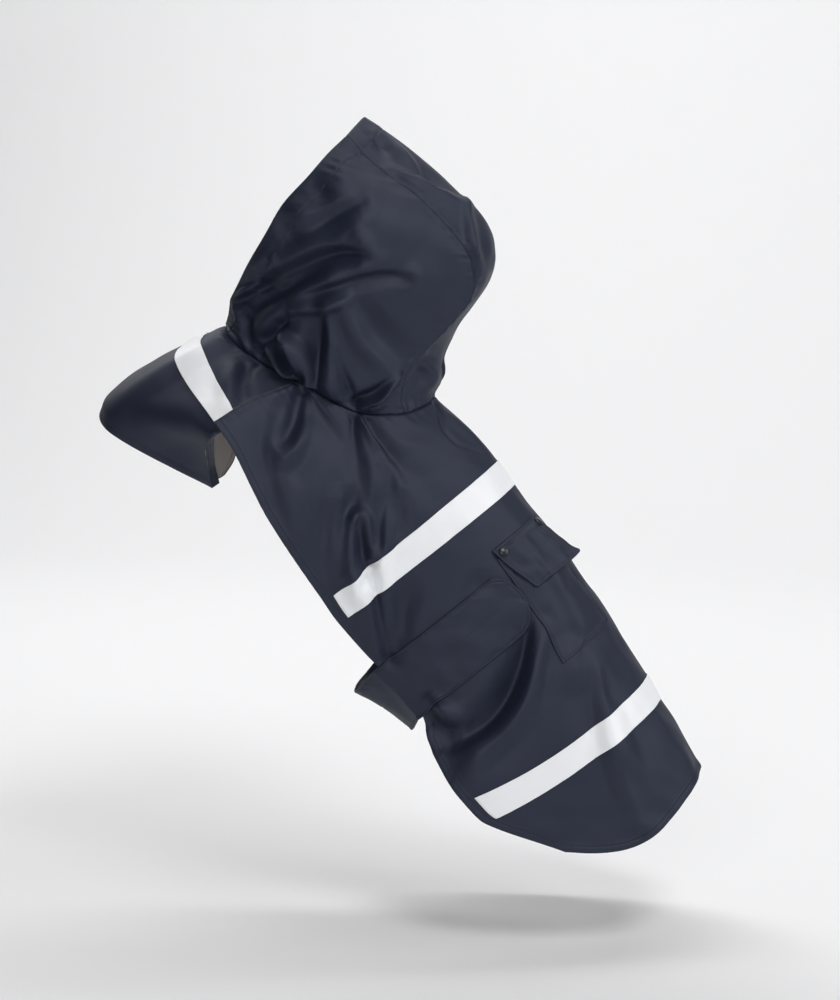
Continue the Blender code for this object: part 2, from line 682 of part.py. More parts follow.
def flap_point(cape, row, across):
    """Inner point of the flap: across is 0 at its outer edge and 1 at its edge by the centre back."""
    first, last = LINE_ROW["flap_top"], LINE_ROW["flap_foot"]
    top, foot = LINE_ROW["patch_top"], LINE_ROW["patch_foot"]
    c = -POCKET_NEAR - FLAP_OVER + across * (POCKET_NEAR - POCKET_FAR + 2 * FLAP_OVER)
    point, normal = cape_place(cape, row, c)
    down = (row - first) / (last - first)
    over_patch = WALL + 2 * GAP + patch_bulge((row - top) / (foot - top), across) if row > first else 0.0
    corner = FLAP_CORNER_LIFT * down**2 * across**3
    return point + normal * (GAP + over_patch + corner)


def flap_grid(cape):
    steps = len(pocket_columns()) - 1
    rows = range(LINE_ROW["flap_top"], LINE_ROW["flap_foot"] + 1)
    return np.array([[flap_point(cape, row, k / steps) for k in range(steps + 1)] for row in rows])


def snap_seat(flap, across):
    """Seat of a snap on the flap's second row of points, clear of the bend under it, and its direction."""
    place = across * (flap.shape[1] - 1)
    j = int(place)
    share = place - j
    normal = normals(flap, TRUNK_INSIDE)
    up = (1 - share) * normal[1, j] + share * normal[1, j + 1]
    up /= np.linalg.norm(up)
    return (1 - share) * flap[1, j] + share * flap[1, j + 1] + up * (WALL + SNAP_SEAT), up


def strap_grid(cape):
    """The strap's inner points: round end on the left flank, under the belly, inside the right flank."""
    first, last = LINE_ROW["strap_top"], LINE_ROW["strap_foot"]
    on_cape = [c for c in CAPE_COLUMNS if c >= STRAP_END - 1e-9]
    lap = list(reversed(CAPE_COLUMNS[-1 - STRAP_LAP_STRIPS :]))
    inside = WALL + GAP + WALL
    grid = []
    for row in range(first, last + 1):
        over = 2 * (row - first) / (last - first) - 1
        corner = STRAP_CORNER * (1 - math.sqrt(1 - STRAP_ROUNDING * over * over))
        line = []
        for c in on_cape:
            shift = max(0.0, 1 - (c - STRAP_END) / (STRAP_END_REACH * STRAP_CORNER))
            point, normal = cape_place(cape, row, -min(c + corner * shift, 1.0))
            line.append(point + normal * (GAP + STRAP_END_LIFT * shift))
        inner = [point - normal * inside for point, normal in (cape_place(cape, row, c) for c in lap)]
        leave = line[-1] - line[-2]
        arrive = inner[0] - inner[1]
        start = line[-1] + leave / np.linalg.norm(leave) * STRAP_RUN_OUT
        end = inner[0] + arrive / np.linalg.norm(arrive) * STRAP_RUN_OUT
        low = (start + end) / 2 + INWARD * (STRAP_DROP - over * STRAP_TWIST) + ALONG * STRAP_DRIFT
        wide = STRAP_BEND_OUT * abs(start[1])
        rise = INWARD * STRAP_DROP * STRAP_BEND_RISE
        sides = [low + np.array([0, y, 0]) - rise for y in (-wide, wide)]
        route = [start, sides[0], low, sides[1], end]
        line += [curve_through(route, k / STRAP_UNDER_STRIPS) for k in range(STRAP_UNDER_STRIPS + 1)]
        grid.append(list(reversed(line + inner)))
    return np.array(grid)


# ---- the raincoat -----------------------------------------------------------------------------------------


def build():
    for old in list(bpy.data.objects):
        bpy.data.objects.remove(old)
    coat = bpy.data.collections.new("dog_raincoat")
    bpy.context.scene.collection.children.link(coat)

    cloth = material("coated_polyester_navy", 0x2A2D38, 0.45)
    tape = material("reflective_tape", 0xE4E6EA, 0.5)
    cap = material("snap_cap_gunmetal", 0x202228, 0.3, 0.6)

    cape = cape_grid()
    cape_points, cape_normals, _ = cape
    add_wall("back_panel", cape_points, WALL, False, TRUNK_INSIDE, cloth, coat)

    bib_points, bib_normals = bib_grid(cape)
    add_wall("chest_bib", bib_points, WALL, False, BIB_INSIDE, cloth, coat)

    for name, side in (("hood_side_left", -1), ("hood_side_right", 1)):
        add_wall(name, hood_side_grid(side), WALL, False, HOOD_INSIDE, cloth, coat)
    add_wall("hood_gusset", gusset_grid(), WALL, False, HOOD_INSIDE, cloth, coat)

    for name in ("tape_upper", "tape_lower"):
        first, last = LINE_ROW[name + "_top"], LINE_ROW[name + "_foot"]
        laid = tape_grid(cape_points, cape_normals, first, last)
        add_wall(name, laid, TAPE_WALL, True, TRUNK_INSIDE, tape, coat)
    first = BIB_LINE["tape_top"].strips
    last = first + BIB_LINE["tape_foot"].strips
    laid = tape_grid(bib_points, bib_normals, first, last)
    add_wall("tape_chest", laid, TAPE_WALL, True, BIB_INSIDE, tape, coat)

    add_wall("pocket_patch", patch_grid(cape), WALL, True, TRUNK_INSIDE, cloth, coat)
    flap = flap_grid(cape)
    add_wall("pocket_flap", flap, WALL, True, TRUNK_INSIDE, cloth, coat)
    add_wall("belly_strap", strap_grid(cape), WALL, True, TRUNK_INSIDE, cloth, coat)

    for name, across in (("snap_left", 0.09), ("snap_right", 0.91)):
        add_snap(name, *snap_seat(flap, across), cap, coat)


build()
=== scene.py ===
"""Dog raincoat: its cloth panels, tapes, pocket, strap, stitching and snaps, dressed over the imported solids.

Sizes are in millimetres, and MM turns them into metres as the meshes are made. Lights and camera are placed
in metres. The dog faces -X, its left side is -Y, and the origin is the centre of the neck seam, over the
withers. A place on the cape is given by s, the distance along the back from the origin, and w, the distance
from the centre back on the cloth.
"""

import math
from collections import namedtuple

import bpy
import numpy as np
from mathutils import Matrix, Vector
from mathutils.kdtree import KDTree


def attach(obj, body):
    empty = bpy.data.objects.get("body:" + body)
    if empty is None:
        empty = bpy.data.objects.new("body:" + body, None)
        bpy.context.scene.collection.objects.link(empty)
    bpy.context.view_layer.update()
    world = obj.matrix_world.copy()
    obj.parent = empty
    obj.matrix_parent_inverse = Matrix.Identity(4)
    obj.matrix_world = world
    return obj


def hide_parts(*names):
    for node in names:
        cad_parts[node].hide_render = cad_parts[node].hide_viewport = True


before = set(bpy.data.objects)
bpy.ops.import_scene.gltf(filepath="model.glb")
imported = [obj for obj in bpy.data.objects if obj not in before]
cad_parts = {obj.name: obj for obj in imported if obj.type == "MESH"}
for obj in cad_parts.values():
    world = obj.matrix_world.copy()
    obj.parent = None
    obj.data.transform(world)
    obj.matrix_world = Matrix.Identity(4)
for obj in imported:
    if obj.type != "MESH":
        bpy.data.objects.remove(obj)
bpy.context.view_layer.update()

MM = 0.001

# Cloth and trim.
CLOTH = 0.8  # coated cloth, one layer
GAP = 0.3  # between a panel and what lies on it
HEM = 8.0  # turned edge
HEM_STITCH = 6.5
CASING = 21.0  # turned face edge of the hood, edge to stitching
SEAM_TUCK = 1.0  # how deep a panel's edge rolls into its seam
ALLOWANCE = 4.0  # cloth turned inside past a seam
FOLD_FADE = 7.0  # folds die out over this distance before a seam
# The faint swells of slack cloth die out over these, and over the last one on the patch and the strap.
SLACK_FADE, BIB_SLACK_FADE, HOOD_SLACK_FADE, GUSSET_SLACK_FADE = 20.0, 16.0, 18.0, 16.0
SMALL_FADE = 9.0

# ---- the coat's form, the same as the solids have ---------------------------------------------------------

BACK_SLOPE = math.radians(54.0)
ALONG = np.array([math.cos(BACK_SLOPE), 0.0, -math.sin(BACK_SLOPE)])
INWARD = np.array([-math.sin(BACK_SLOPE), 0.0, -math.cos(BACK_SLOPE)])
HALF_GIRTH = 240.0

# Sections of the cape square to the back. crown and depth are how far in from the straight back line the
# centre back and the lower edge lie; width is the half width, and flare is what the lower edge adds to it.
TrunkSection = namedtuple("TrunkSection", "s crown width flare depth")
TRUNK = [
    TrunkSection(-106, 8, 56, 62, 171),
    TrunkSection(-74, 6, 68, 54, 171),
    TrunkSection(-33, 3, 88, 34, 178),
    TrunkSection(0, 0, 102, 20, 183),
    TrunkSection(49, -10, 104, 12, 187),
    TrunkSection(89, -13, 104, 6, 189),
    TrunkSection(121, -13, 104, -4, 192),
    TrunkSection(178, -15, 104, -18, 189),
    TrunkSection(240, -15, 106, -22, 181),
    TrunkSection(267, -15, 108, -10, 190),
    TrunkSection(312, -12, 110, 6, 193),
    TrunkSection(350, -9, 112, 10, 190),
    TrunkSection(400, -6, 112, 10, 186),
    TrunkSection(458, 0, 110, 8, 183),
    TrunkSection(480, 2, 110, 8, 183),
]

# Cross lines of the cape: place at the centre back and at the lower edge, how far the line bows towards the
# tail between them, and how much of the section it spans.
CapeLine = namedtuple("CapeLine", "name centre edge bow reach")
CAPE = [
    CapeLine("tape_upper_top", 89, 99, 0, 1.0),
    CapeLine("tape_upper_foot", 118, 124, 0, 1.0),
    CapeLine("flap_top", 154, 157, 0, 1.0),
    CapeLine("patch_top", 163, 168, 0, 1.0),
    CapeLine("strap_top", 172, 182, 0, 1.0),
    CapeLine("flap_foot", 208, 217, 0, 1.0),
    CapeLine("strap_foot", 233, 246, 0, 1.0),
    CapeLine("patch_foot", 280, 284, 0, 1.0),
    CapeLine("tape_lower_top", 351, 333, 6, 1.0),
    CapeLine("tape_lower_foot", 377, 362, 4, 0.99),
    CapeLine("hem", 458, 430, 26, 0.85),
]
STATION = {line.name: float(line.centre) for line in CAPE}

# The neck seam on the dog's left, from the withers to the throat, and the shoulder seam that leaves it.
NECK_SEAM = [
    (0, 0, 0),
    (-4, -27, -6),
    (-26, -57, -12),
    (-69, -72, -9),
    (-115, -70, 14),
    (-168, -50, 38),
    (-202, -23, 58),
    (-208, 0, 68),
]
NECK_END = 0.60  # column of the cape, and share of the neck seam, where the cape ends and the bib begins
SHOULDER_MIDDLE = (-166, -95, 6)
FRONT_TIP = (-200, -118, -15)

# Cross lines of the bib, from the neck seam (v 0) to its hem (v 1): its middle ridge, the crease beside it
# and its side edge on the dog's left. right is the edge of the right side, given as if it lay on the left.
BibLine = namedtuple("BibLine", "name v ridge crease side right")
NECK_SIDE, TAPE_SIDE, MIDDLE_SIDE = (-128, -66, 21), (-182, -107, -3), (-211, -101, -41)
BIB = [
    BibLine("neck", 0.0, (-208, 0, 68), (-192, -36, 50), NECK_SIDE, NECK_SIDE),
    BibLine("tape_top", 0.18, (-228, 0, 59), (-225, -41, 46), TAPE_SIDE, TAPE_SIDE),
    BibLine("tape_foot", 0.34, (-248, 0, 50), (-248, -48, 31), FRONT_TIP, FRONT_TIP),
    BibLine("middle", 0.62, (-291, 0, 27), (-283, -58, 8), MIDDLE_SIDE, MIDDLE_SIDE),
    BibLine("low", 0.87, (-327, 0, 0), (-310, -60, -17), (-215, -66, -69), (-214, -50, -76)),
    BibLine("hem", 1.0, (-336, 0, -19), (-313, -60, -35), (-216, -46, -90), (-223, -30, -90)),
]
BIB_LEVEL = {line.name: line.v for line in BIB}
BIB_CREASE = 0.38  # column of the crease, from 0 at the ridge to 1 at the side edge
BIB_IN = 0.95  # from this column the bib's free rear edge turns in
REAR_TURN = (7, 5, 5)  # its reach back, inward and up
REAR_FREE = 0.2  # share of the bib over which it comes free of the cape

# Rings of the hood from the neck seam (level 0) to the brow (level 1): centre back or crown, gusset seam,
# fullest point of the side, and face edge.
HoodRing = namedtuple("HoodRing", "level crown seam side edge")
HOOD = [
    HoodRing(0.0, (0, 0, 0), (-26, -57, -12), (-115, -70, 14), (-208, 0, 68)),
    HoodRing(0.07, (3, 0, 14), (-27, -56, 6), (-114, -76, 30), (-206, -1, 79)),
    HoodRing(0.16, (12, 0, 36), (-18, -53, 32), (-106, -82, 54), (-200, -18, 95)),
    HoodRing(0.30, (29, 0, 68), (14, -46, 68), (-92, -88, 84), (-188, -37, 116)),
    HoodRing(0.44, (52, 0, 108), (40, -44, 100), (-76, -92, 116), (-172, -56, 140)),
    HoodRing(0.57, (60, 0, 141), (42, -47, 132), (-66, -92, 148), (-156, -68, 164)),
    HoodRing(0.70, (50, 0, 174), (28, -51, 158), (-64, -88, 180), (-138, -72, 192)),
    HoodRing(0.84, (10, 0, 215), (-8, -52, 196), (-74, -76, 210), (-112, -65, 221)),
    HoodRing(0.94, (-34, 0, 250), (-50, -48, 226), (-84, -58, 236), (-95, -52, 242)),
    HoodRing(1.0, (-69, 0, 274), (-81, -42, 256), (-81, -42, 256), (-81, -42, 256)),
]
GUSSET_TURN = 0.21  # share of the neck seam at which the gusset's seam starts
HOOD_SETTLE = 0.30  # rings below this level settle on the neck seam
HOOD_TIP = 0.998  # the side panels end at this level, a thread's width from the brow

# ---- folds ------------------------------------------------------------------------------------------------

# A ridge (height above 0) or a trough (below 0) along a smooth route in a piece's own plane: s and w on the
# cape, x and z on the hood and the bib. widths and heights are spread evenly over the route. side is -1 on
# the dog's left, 1 on its right and 0 on both. crisp goes from 0, a soft swell, to 1, a pinched line, and
# lean makes the flank on the left of the route steeper (above 0) or the one on its right (below 0).
Fold = namedtuple("Fold", "side route widths heights crisp lean", defaults=(0, 0))
CAPE_FOLDS = [
    # drape that hangs from the throat fold: hollow, its lip, the swell before it and the bend down the flank
    Fold(-1, [(-82, 140), (-76, 148), (-61, 167), (-52, 186), (-49, 203)],
         (5, 8, 8, 6), (-2, -7, -9, -6, 0), 0.45),
    Fold(-1, [(-76, 140), (-68, 150), (-52, 166), (-41, 182), (-37, 198), (-42, 211)],
         (5, 7), (1, 5, 6, 7, 6, 1), 0.55),
    Fold(-1, [(-84, 152), (-72, 172), (-60, 194)], (8, 11), (1, 4, 2), 0.25),
    Fold(-1, [(-84, 184), (-68, 207), (-52, 217), (-24, 223), (4, 229), (30, 232)],
         (8, 10), (0, -3, -4, -4, -3, 0), 0.25),
    Fold(-1, [(-46, 208), (-22, 215), (3, 219), (32, 224), (60, 228)], (10, 9), (2, 3, 3, 2, 0), 0.1),
    Fold(-1, [(-46, 180), (-28, 196), (-12, 208)], (12, 14), (0, -2, 0)),
    # folds that fan out from the pinch in the neck seam
    Fold(-1, [(-32, 92), (-14, 124), (13, 151), (43, 167), (66, 176), (90, 187)],
         (3, 6, 7, 5), (-3, -4, -4, -4, -3, -2), 0.35),
    Fold(-1, [(-31, 88), (-13, 95), (3, 105), (25, 122), (39, 132), (56, 145)],
         (3, 4, 5, 6), (3, 5, 5, 4, 3, 0), 0.5, -0.3),
    Fold(-1, [(-24, 82), (-4, 92), (18, 114), (35, 129), (50, 138)],
         (4, 7, 7, 8), (-3, -6, -6, -4, 0), 0.45, 0.2),
    Fold(-1, [(26, 116), (47, 136), (68, 144), (88, 148)], (10, 12), (0, 3, 3, 1)),
    Fold(-1, [(6, 133), (30, 149), (58, 168), (84, 182)], (8, 7), (0, 4, 5, 3), 0.45),
    # cluster above the upper tape
    Fold(-1, [(22, 126), (42, 145), (58, 162), (76, 177), (96, 190)], (6, 6, 5), (0, -4, -6, -6, -4), 0.55),
    Fold(-1, [(46, 144), (66, 163), (83, 176), (100, 188)], (5, 5, 4), (0, 4, 5, 4), 0.55),
    Fold(-1, [(50, 144), (66, 153), (84, 163), (96, 172)], (7, 6), (0, -4, -3, 0), 0.35),
    Fold(-1, [(54, 138), (76, 150), (96, 160)], (8, 9), (0, 2, 2)),
    Fold(-1, [(49, 184), (60, 194), (76, 204), (94, 212), (110, 218)], (4, 5), (4, 5, 5, 5, 3), 0.55),
    Fold(-1, [(49, 185), (46, 178), (52, 177), (66, 182), (83, 189), (100, 197)],
         (4, 4), (4, 5, 6, 6, 6, 4), 0.55),
    Fold(-1, [(55, 182), (71, 190), (86, 196), (104, 203)], (3, 5, 5), (-3, -7, -8, -6), 0.55),
    Fold(-1, [(18, 166), (34, 178), (51, 193), (64, 202), (78, 211)], (4, 6, 6), (0, -5, -6, -4, -2), 0.55),
    Fold(-1, [(22, 183), (40, 202), (56, 214), (72, 221), (92, 229)], (7, 9), (0, -4, -4, -3, -2), 0.35),
    Fold(-1, [(12, 170), (37, 190), (59, 207), (85, 219)], (6, 7), (0, 4, 4, 3), 0.45),
    # across the upper tape and down to the strap
    Fold(-1, [(96, 196), (109, 201), (122, 206), (138, 212), (155, 219), (180, 229)],
         (3, 3.5, 4, 5), (-6, -7, -7, -7, -7, -7), 0.8, 0.4),
    Fold(-1, [(92, 190), (112, 196), (130, 204), (152, 213), (176, 223)], (6, 6), (4, 4, 5, 5, 3), 0.55),
    Fold(-1, [(100, 210), (120, 214), (142, 221), (167, 230)], (5, 6), (4, 4, 3, 2), 0.45),
    Fold(-1, [(124, 176), (140, 185), (155, 200), (172, 216)], (7, 6), (0, -4, -4, -3), 0.35),
    Fold(-1, [(120, 188), (146, 200), (168, 214)], (6, 6), (0, -3, -2), 0.1),
    Fold(-1, [(160, 128), (170, 134), (182, 144)], (6, 8), (0, -2, 0), 0.2),
    # the strap draws a pouch into the flank
    Fold(-1, [(230, 120), (245, 135), (265, 152), (279, 174), (284, 196), (280, 222)],
         (4, 9, 11), (-2, -8, -12, -14, -12, -6), 0.5, -0.45),
    Fold(-1, [(244, 112), (266, 136), (290, 160), (301, 182), (304, 208)], (6, 9), (2, 6, 8, 8, 4), 0.5),
    Fold(-1, [(236, 226), (250, 222), (266, 212), (276, 204)], (4, 5), (3, 8, 5, 0), 0.55),
    Fold(-1, [(252, 234), (264, 226), (280, 214)], (4, 5), (-5, -5, 0), 0.55),
    Fold(-1, [(292, 208), (318, 218), (350, 226)], (10, 12), (0, 3, 0)),
    Fold(-1, [(286, 178), (312, 196), (330, 204)], (9, 10), (0, -2, 0)),
    # haunch and tail
    Fold(-1, [(284, 76), (308, 86), (340, 101), (367, 115), (419, 140), (450, 156)],
         (8, 10, 12), (0, 5, 6, 7, 6, 3), 0.55, 0.3),
    Fold(-1, [(300, 96), (340, 120), (376, 140), (420, 166)], (13, 16), (0, -4, -4, -2), 0.25),
    Fold(-1, [(304, 74), (336, 88), (362, 96)], (6, 7), (0, -3, 0), 0.1),
    Fold(-1, [(262, 98), (286, 108), (318, 118)], (9, 9), (0, 3, 0), 0.1),
    Fold(-1, [(384, 122), (420, 132), (448, 140)], (8, 9), (0, -3, -2), 0.1),
    Fold(-1, [(330, 150), (372, 172), (424, 190)], (18, 20), (0, -3, -3)),
    Fold(-1, [(380, 40), (420, 52), (452, 62)], (16, 18), (0, 3, 3)),
    # pressed crease by the centre back, and the slack beside it
    Fold(-1, [(1, 6), (20, 24), (34, 38), (52, 46), (66, 36), (80, 22)],
         (1.7, 1.9), (-1.6, -2.2, -2.0, -1.6, -1.0, 0), 0.9, 0.3),
    Fold(-1, [(4, 3), (28, 13), (56, 14), (84, 5)], (7, 8), (1, 3, 3, 1), 0.2),
    Fold(-1, [(-20, 60), (20, 84), (60, 96)], (14, 18), (0, 3, 0)),
    # the right side, pulled the same way
    Fold(1, [(-80, 142), (-66, 162), (-56, 184), (-52, 206)], (6, 9), (-2, -7, -7, 0), 0.45),
    Fold(1, [(-72, 144), (-54, 162), (-42, 186), (-42, 210)], (6, 8), (2, 6, 6, 1), 0.55),
    Fold(1, [(-76, 190), (-50, 214), (-14, 224), (30, 232)], (8, 10), (0, -4, -4, 0), 0.25),
    Fold(1, [(-40, 210), (0, 218), (46, 226)], (10, 9), (1, 3, 1), 0.1),
    Fold(1, [(-30, 94), (-6, 118), (28, 142), (66, 160)], (3, 7, 8), (-3, -5, -5, -1), 0.45),
    Fold(1, [(-28, 88), (4, 104), (38, 124), (66, 138)], (4, 6), (4, 6, 4, 0), 0.55),
    Fold(1, [(-22, 82), (12, 98), (44, 112)], (5, 8), (-3, -5, 0), 0.45),
    Fold(1, [(14, 160), (44, 176), (76, 196), (104, 212)], (5, 7), (0, 5, 6, 4), 0.55),
    Fold(1, [(26, 150), (56, 168), (84, 184), (108, 198)], (5, 6), (0, -5, -6, -4), 0.55),
    Fold(1, [(40, 140), (70, 158), (104, 176)], (6, 7), (0, 4, 2), 0.45),
    Fold(1, [(36, 186), (66, 206), (98, 222)], (6, 7), (0, -5, -3), 0.45),
    Fold(1, [(104, 204), (136, 214), (162, 222), (184, 230)], (4, 4), (-3, -6, -6, -5), 0.5, -0.3),
    Fold(1, [(96, 190), (134, 204), (170, 218)], (7, 7), (2, 5, 3), 0.45),
    Fold(1, [(124, 170), (158, 188), (190, 208)], (9, 8), (0, -4, 0), 0.25),
    Fold(1, [(176, 222), (206, 212), (236, 200), (256, 186)], (7, 9), (2, 5, 5, 0), 0.45),
    Fold(1, [(236, 118), (262, 150), (276, 182), (280, 214)], (7, 11), (-2, -8, -11, -7), 0.35, 0.3),
    Fold(1, [(252, 108), (284, 140), (300, 176), (304, 210)], (8, 11), (1, 6, 8, 4), 0.35),
    Fold(1, [(288, 60), (330, 80), (376, 106), (430, 136), (456, 150)], (9, 12), (0, 5, 7, 6, 3), 0.55, -0.2),
    Fold(1, [(318, 100), (370, 128), (424, 158)], (14, 17), (0, -4, -3), 0.25),
    Fold(1, [(340, 158), (384, 178), (424, 192)], (16, 18), (0, -3, -2)),
    Fold(1, [(20, 50), (64, 78), (120, 90)], (15, 18), (0, 3, 0)),
    Fold(1, [(130, 60), (180, 96), (220, 130)], (16, 18), (0, -3, 0)),
    Fold(1, [(196, 50), (250, 78), (300, 96)], (16, 20), (0, 3, 0)),
]
HOOD_FOLDS = [
    # three soft fingers that run from the ear towards the throat
    Fold(-1, [(-62, 190), (-78, 186), (-95, 177), (-113, 164), (-132, 152)],
         (6, 9, 9), (-2, -6, -6, -4, 0), 0.4, -0.3),
    Fold(-1, [(-62, 204), (-54, 192), (-62, 176), (-78, 166)], (7, 8), (0, 2, 2, 0), 0.1),
    Fold(-1, [(-58, 142), (-77, 145), (-102, 140), (-129, 127), (-162, 110), (-186, 98)],
         (5, 8, 8, 5), (-5, -10, -10, -8, -6, -3), 0.35, -0.3),
    Fold(-1, [(-70, 160), (-92, 160), (-118, 148), (-146, 132)], (8, 9), (0, 2, 2, 1), 0.2),
    Fold(-1, [(-68, 128), (-60, 136), (-55, 146), (-60, 158), (-72, 162)], (6, 6), (1, 3, 4, 3, 0), 0.35),
    Fold(-1, [(-92, 126), (-114, 121), (-138, 110), (-170, 92)], (4, 4), (0, -3, -5, -4), 0.55),
    Fold(-1, [(-64, 123), (-91, 119), (-114, 111), (-134, 99)], (7, 7, 6), (0, 3, 4, 2), 0.3),
    Fold(-1, [(-18, 120), (-34, 123), (-50, 121), (-80, 113), (-113, 102), (-130, 94)],
         (4, 5, 5, 4), (-3, -6, -6, -6, -4, 0), 0.4, -0.3),
    Fold(-1, [(-20, 134), (-48, 134), (-74, 126)], (8, 8), (0, 3, 0)),
    Fold(-1, [(-28, 110), (-16, 114), (-13, 124), (-22, 133)], (5, 5), (0, 2, 3, 0), 0.3),
    # cheek, below a crisp fold
    Fold(-1, [(-66, 106), (-82, 99), (-102, 92), (-122, 91), (-142, 84)],
         (5, 6, 5), (1, 6, 7, 6, 2), 0.6, 0.3),
    Fold(-1, [(-78, 100), (-92, 91), (-96, 78), (-91, 50), (-85, 22)], (5, 6, 8), (0, 4, 7, 6, 3), 0.45, 0.2),
    Fold(-1, [(-102, 88), (-102, 66), (-106, 48), (-110, 28)], (6, 8, 7), (-6, -11, -10, -7), 0.4, 0.3),
    Fold(-1, [(-70, 112), (-62, 90), (-50, 71), (-38, 57), (-22, 43)],
         (8, 10, 10), (0, -5, -6, -5, -2), 0.25),
    Fold(-1, [(-76, 92), (-70, 78), (-61, 59), (-48, 43), (-38, 29)], (6, 8), (4, 5, 5, 5, 4), 0.45),
    Fold(-1, [(-87, 52), (-82, 33), (-76, 18), (-71, 3)], (3, 4), (-2, -5, -6, -4), 0.6, 0.2),
    Fold(-1, [(-94, 40), (-94, 22), (-88, 4)], (6, 6), (0, 4, 3), 0.35),
    Fold(-1, [(-134, 98), (-139, 80), (-151, 66), (-166, 53)], (3, 4), (-1, -5, -6, -4), 0.5),
    Fold(-1, [(-138, 94), (-156, 79), (-175, 60)], (7, 7), (1, 5, 3), 0.35),
    # twisted fold at the throat
    Fold(-1, [(-156, 56), (-149, 58), (-135, 61), (-123, 53), (-116, 40), (-113, 29), (-115, 14)],
         (4, 4.5, 4.5), (3, 8, 9, 11, 12, 11, 8), 0.5, 0.3),
    Fold(-1, [(-151, 67), (-142, 68), (-133, 62), (-127, 47), (-125, 32)],
         (2.6, 3), (0, 4, 6, 6, 3), 0.8, -0.3),
    Fold(-1, [(-158, 53), (-147, 56), (-138, 51), (-132, 42), (-128, 30)],
         (4, 5, 4), (-4, -9, -11, -10, -6), 0.45),
    Fold(-1, [(-167, 56), (-155, 49), (-144, 41), (-134, 32)], (3, 3), (2, 6, 7, 4), 0.7, 0.2),
    Fold(-1, [(-166, 40), (-154, 32), (-142, 25)], (3, 3), (-3, -5, -4), 0.5),
    # hood hanging over its neck seam
    Fold(-1, [(-29, 26), (-44, 15), (-58, 3), (-66, -6)], (2.6, 3, 3), (4, 8, 9, 6), 0.9, 0.3),
    Fold(-1, [(-36, 24), (-46, 20), (-58, 13), (-66, 4), (-70, -6)], (2.5, 3, 3), (-2, -7, -8, -8, -6), 0.5),
    Fold(-1, [(-36, 6), (-50, -1), (-60, -8)], (5, 4), (0, 3, 2), 0.1),
    # face edge
    Fold(-1, [(-196, 96), (-191, 77), (-184, 56), (-178, 44)], (2.5, 3), (1, 4, 4, 2), 0.6),
    Fold(-1, [(-187, 90), (-181, 70), (-175, 54)], (6, 5), (0, -5, -3), 0.35),
    Fold(-1, [(-198, 96), (-186, 103), (-174, 109), (-165, 115), (-161, 124)], (3, 3), (2, 5, 5, 4, 1), 0.5),
    Fold(-1, [(-172, 128), (-164, 134), (-156, 146)], (3, 4), (0, 3, 1), 0.3),
    Fold(-1, [(-150, 146), (-149, 133), (-154, 122)], (3, 3), (0, 3, 0), 0.5),
    Fold(-1, [(-176, 122), (-166, 112), (-152, 108)], (5, 6), (0, -4, -2), 0.35),
    Fold(-1, [(-150, 178), (-136, 168), (-124, 152)], (6, 7), (0, -3, 0), 0.1),
    Fold(-1, [(-138, 194), (-122, 184), (-106, 168)], (6, 8), (0, 3, 0), 0.1),
    Fold(-1, [(-118, 214), (-102, 204), (-90, 190)], (5, 7), (0, -3, 0), 0.1),
    Fold(-1, [(-52, 188), (-28, 172), (-6, 150)], (14, 16), (0, 2, 0)),
    Fold(-1, [(-20, 176), (2, 150), (8, 120)], (12, 14), (0, -2, 0)),
    # the right side
    Fold(1, [(-64, 186), (-84, 180), (-106, 166), (-130, 150)], (9, 12), (0, -5, -4, 0), 0.25),
    Fold(1, [(-58, 200), (-52, 186), (-64, 170)], (7, 8), (0, 3, 0), 0.1),
    Fold(1, [(-60, 138), (-84, 140), (-112, 130), (-146, 114), (-184, 96)],
         (6, 11, 6), (-2, -9, -8, -7, -3), 0.25, -0.2),
    Fold(1, [(-70, 156), (-98, 152), (-130, 138)], (7, 8), (0, 4, 1), 0.35),
    Fold(1, [(-70, 122), (-100, 114), (-134, 98)], (6, 6), (0, 6, 3), 0.35),
    Fold(1, [(-24, 114), (-56, 114), (-90, 106), (-124, 94)], (6, 6), (-1, -5, -5, 0), 0.25),
    Fold(1, [(-72, 92), (-98, 88), (-136, 74)], (5, 5), (2, 7, 2), 0.55),
    Fold(1, [(-86, 90), (-92, 66), (-98, 40), (-106, 22)], (6, 8), (2, 7, 7, 4), 0.45),
    Fold(1, [(-104, 78), (-108, 54), (-112, 28)], (7, 7), (-4, -9, -6), 0.35),
    Fold(1, [(-72, 106), (-58, 80), (-42, 58), (-26, 42)], (9, 10), (0, -6, -5, -2), 0.25),
    Fold(1, [(-74, 76), (-58, 50), (-42, 28)], (7, 8), (2, 5, 4), 0.45),
    Fold(1, [(-154, 54), (-138, 57), (-124, 44), (-120, 16)], (4, 5), (2, 8, 9, 7), 0.55),
    Fold(1, [(-146, 48), (-132, 44), (-126, 28)], (3, 4), (-3, -6, -5), 0.55),
    Fold(1, [(-140, 88), (-152, 66), (-166, 50)], (5, 6), (-1, -6, -4), 0.55),
    Fold(1, [(-194, 94), (-187, 72), (-180, 48)], (3, 3), (1, 4, 2), 0.5),
    Fold(1, [(-40, 20), (-56, 10), (-66, -2)], (4, 5), (1, 6, 3), 0.55),
    Fold(1, [(-52, 34), (-50, 18), (-62, 4)], (6, 5), (0, -6, -4), 0.45),
    Fold(1, [(-196, 94), (-178, 106), (-162, 122)], (3, 4), (1, 5, 1), 0.55),
    Fold(1, [(-140, 184), (-120, 166)], (6, 8), (-1, -3), 0.1),
    Fold(1, [(-44, 190), (-16, 166), (4, 138)], (14, 16), (0, 2, 0)),
]
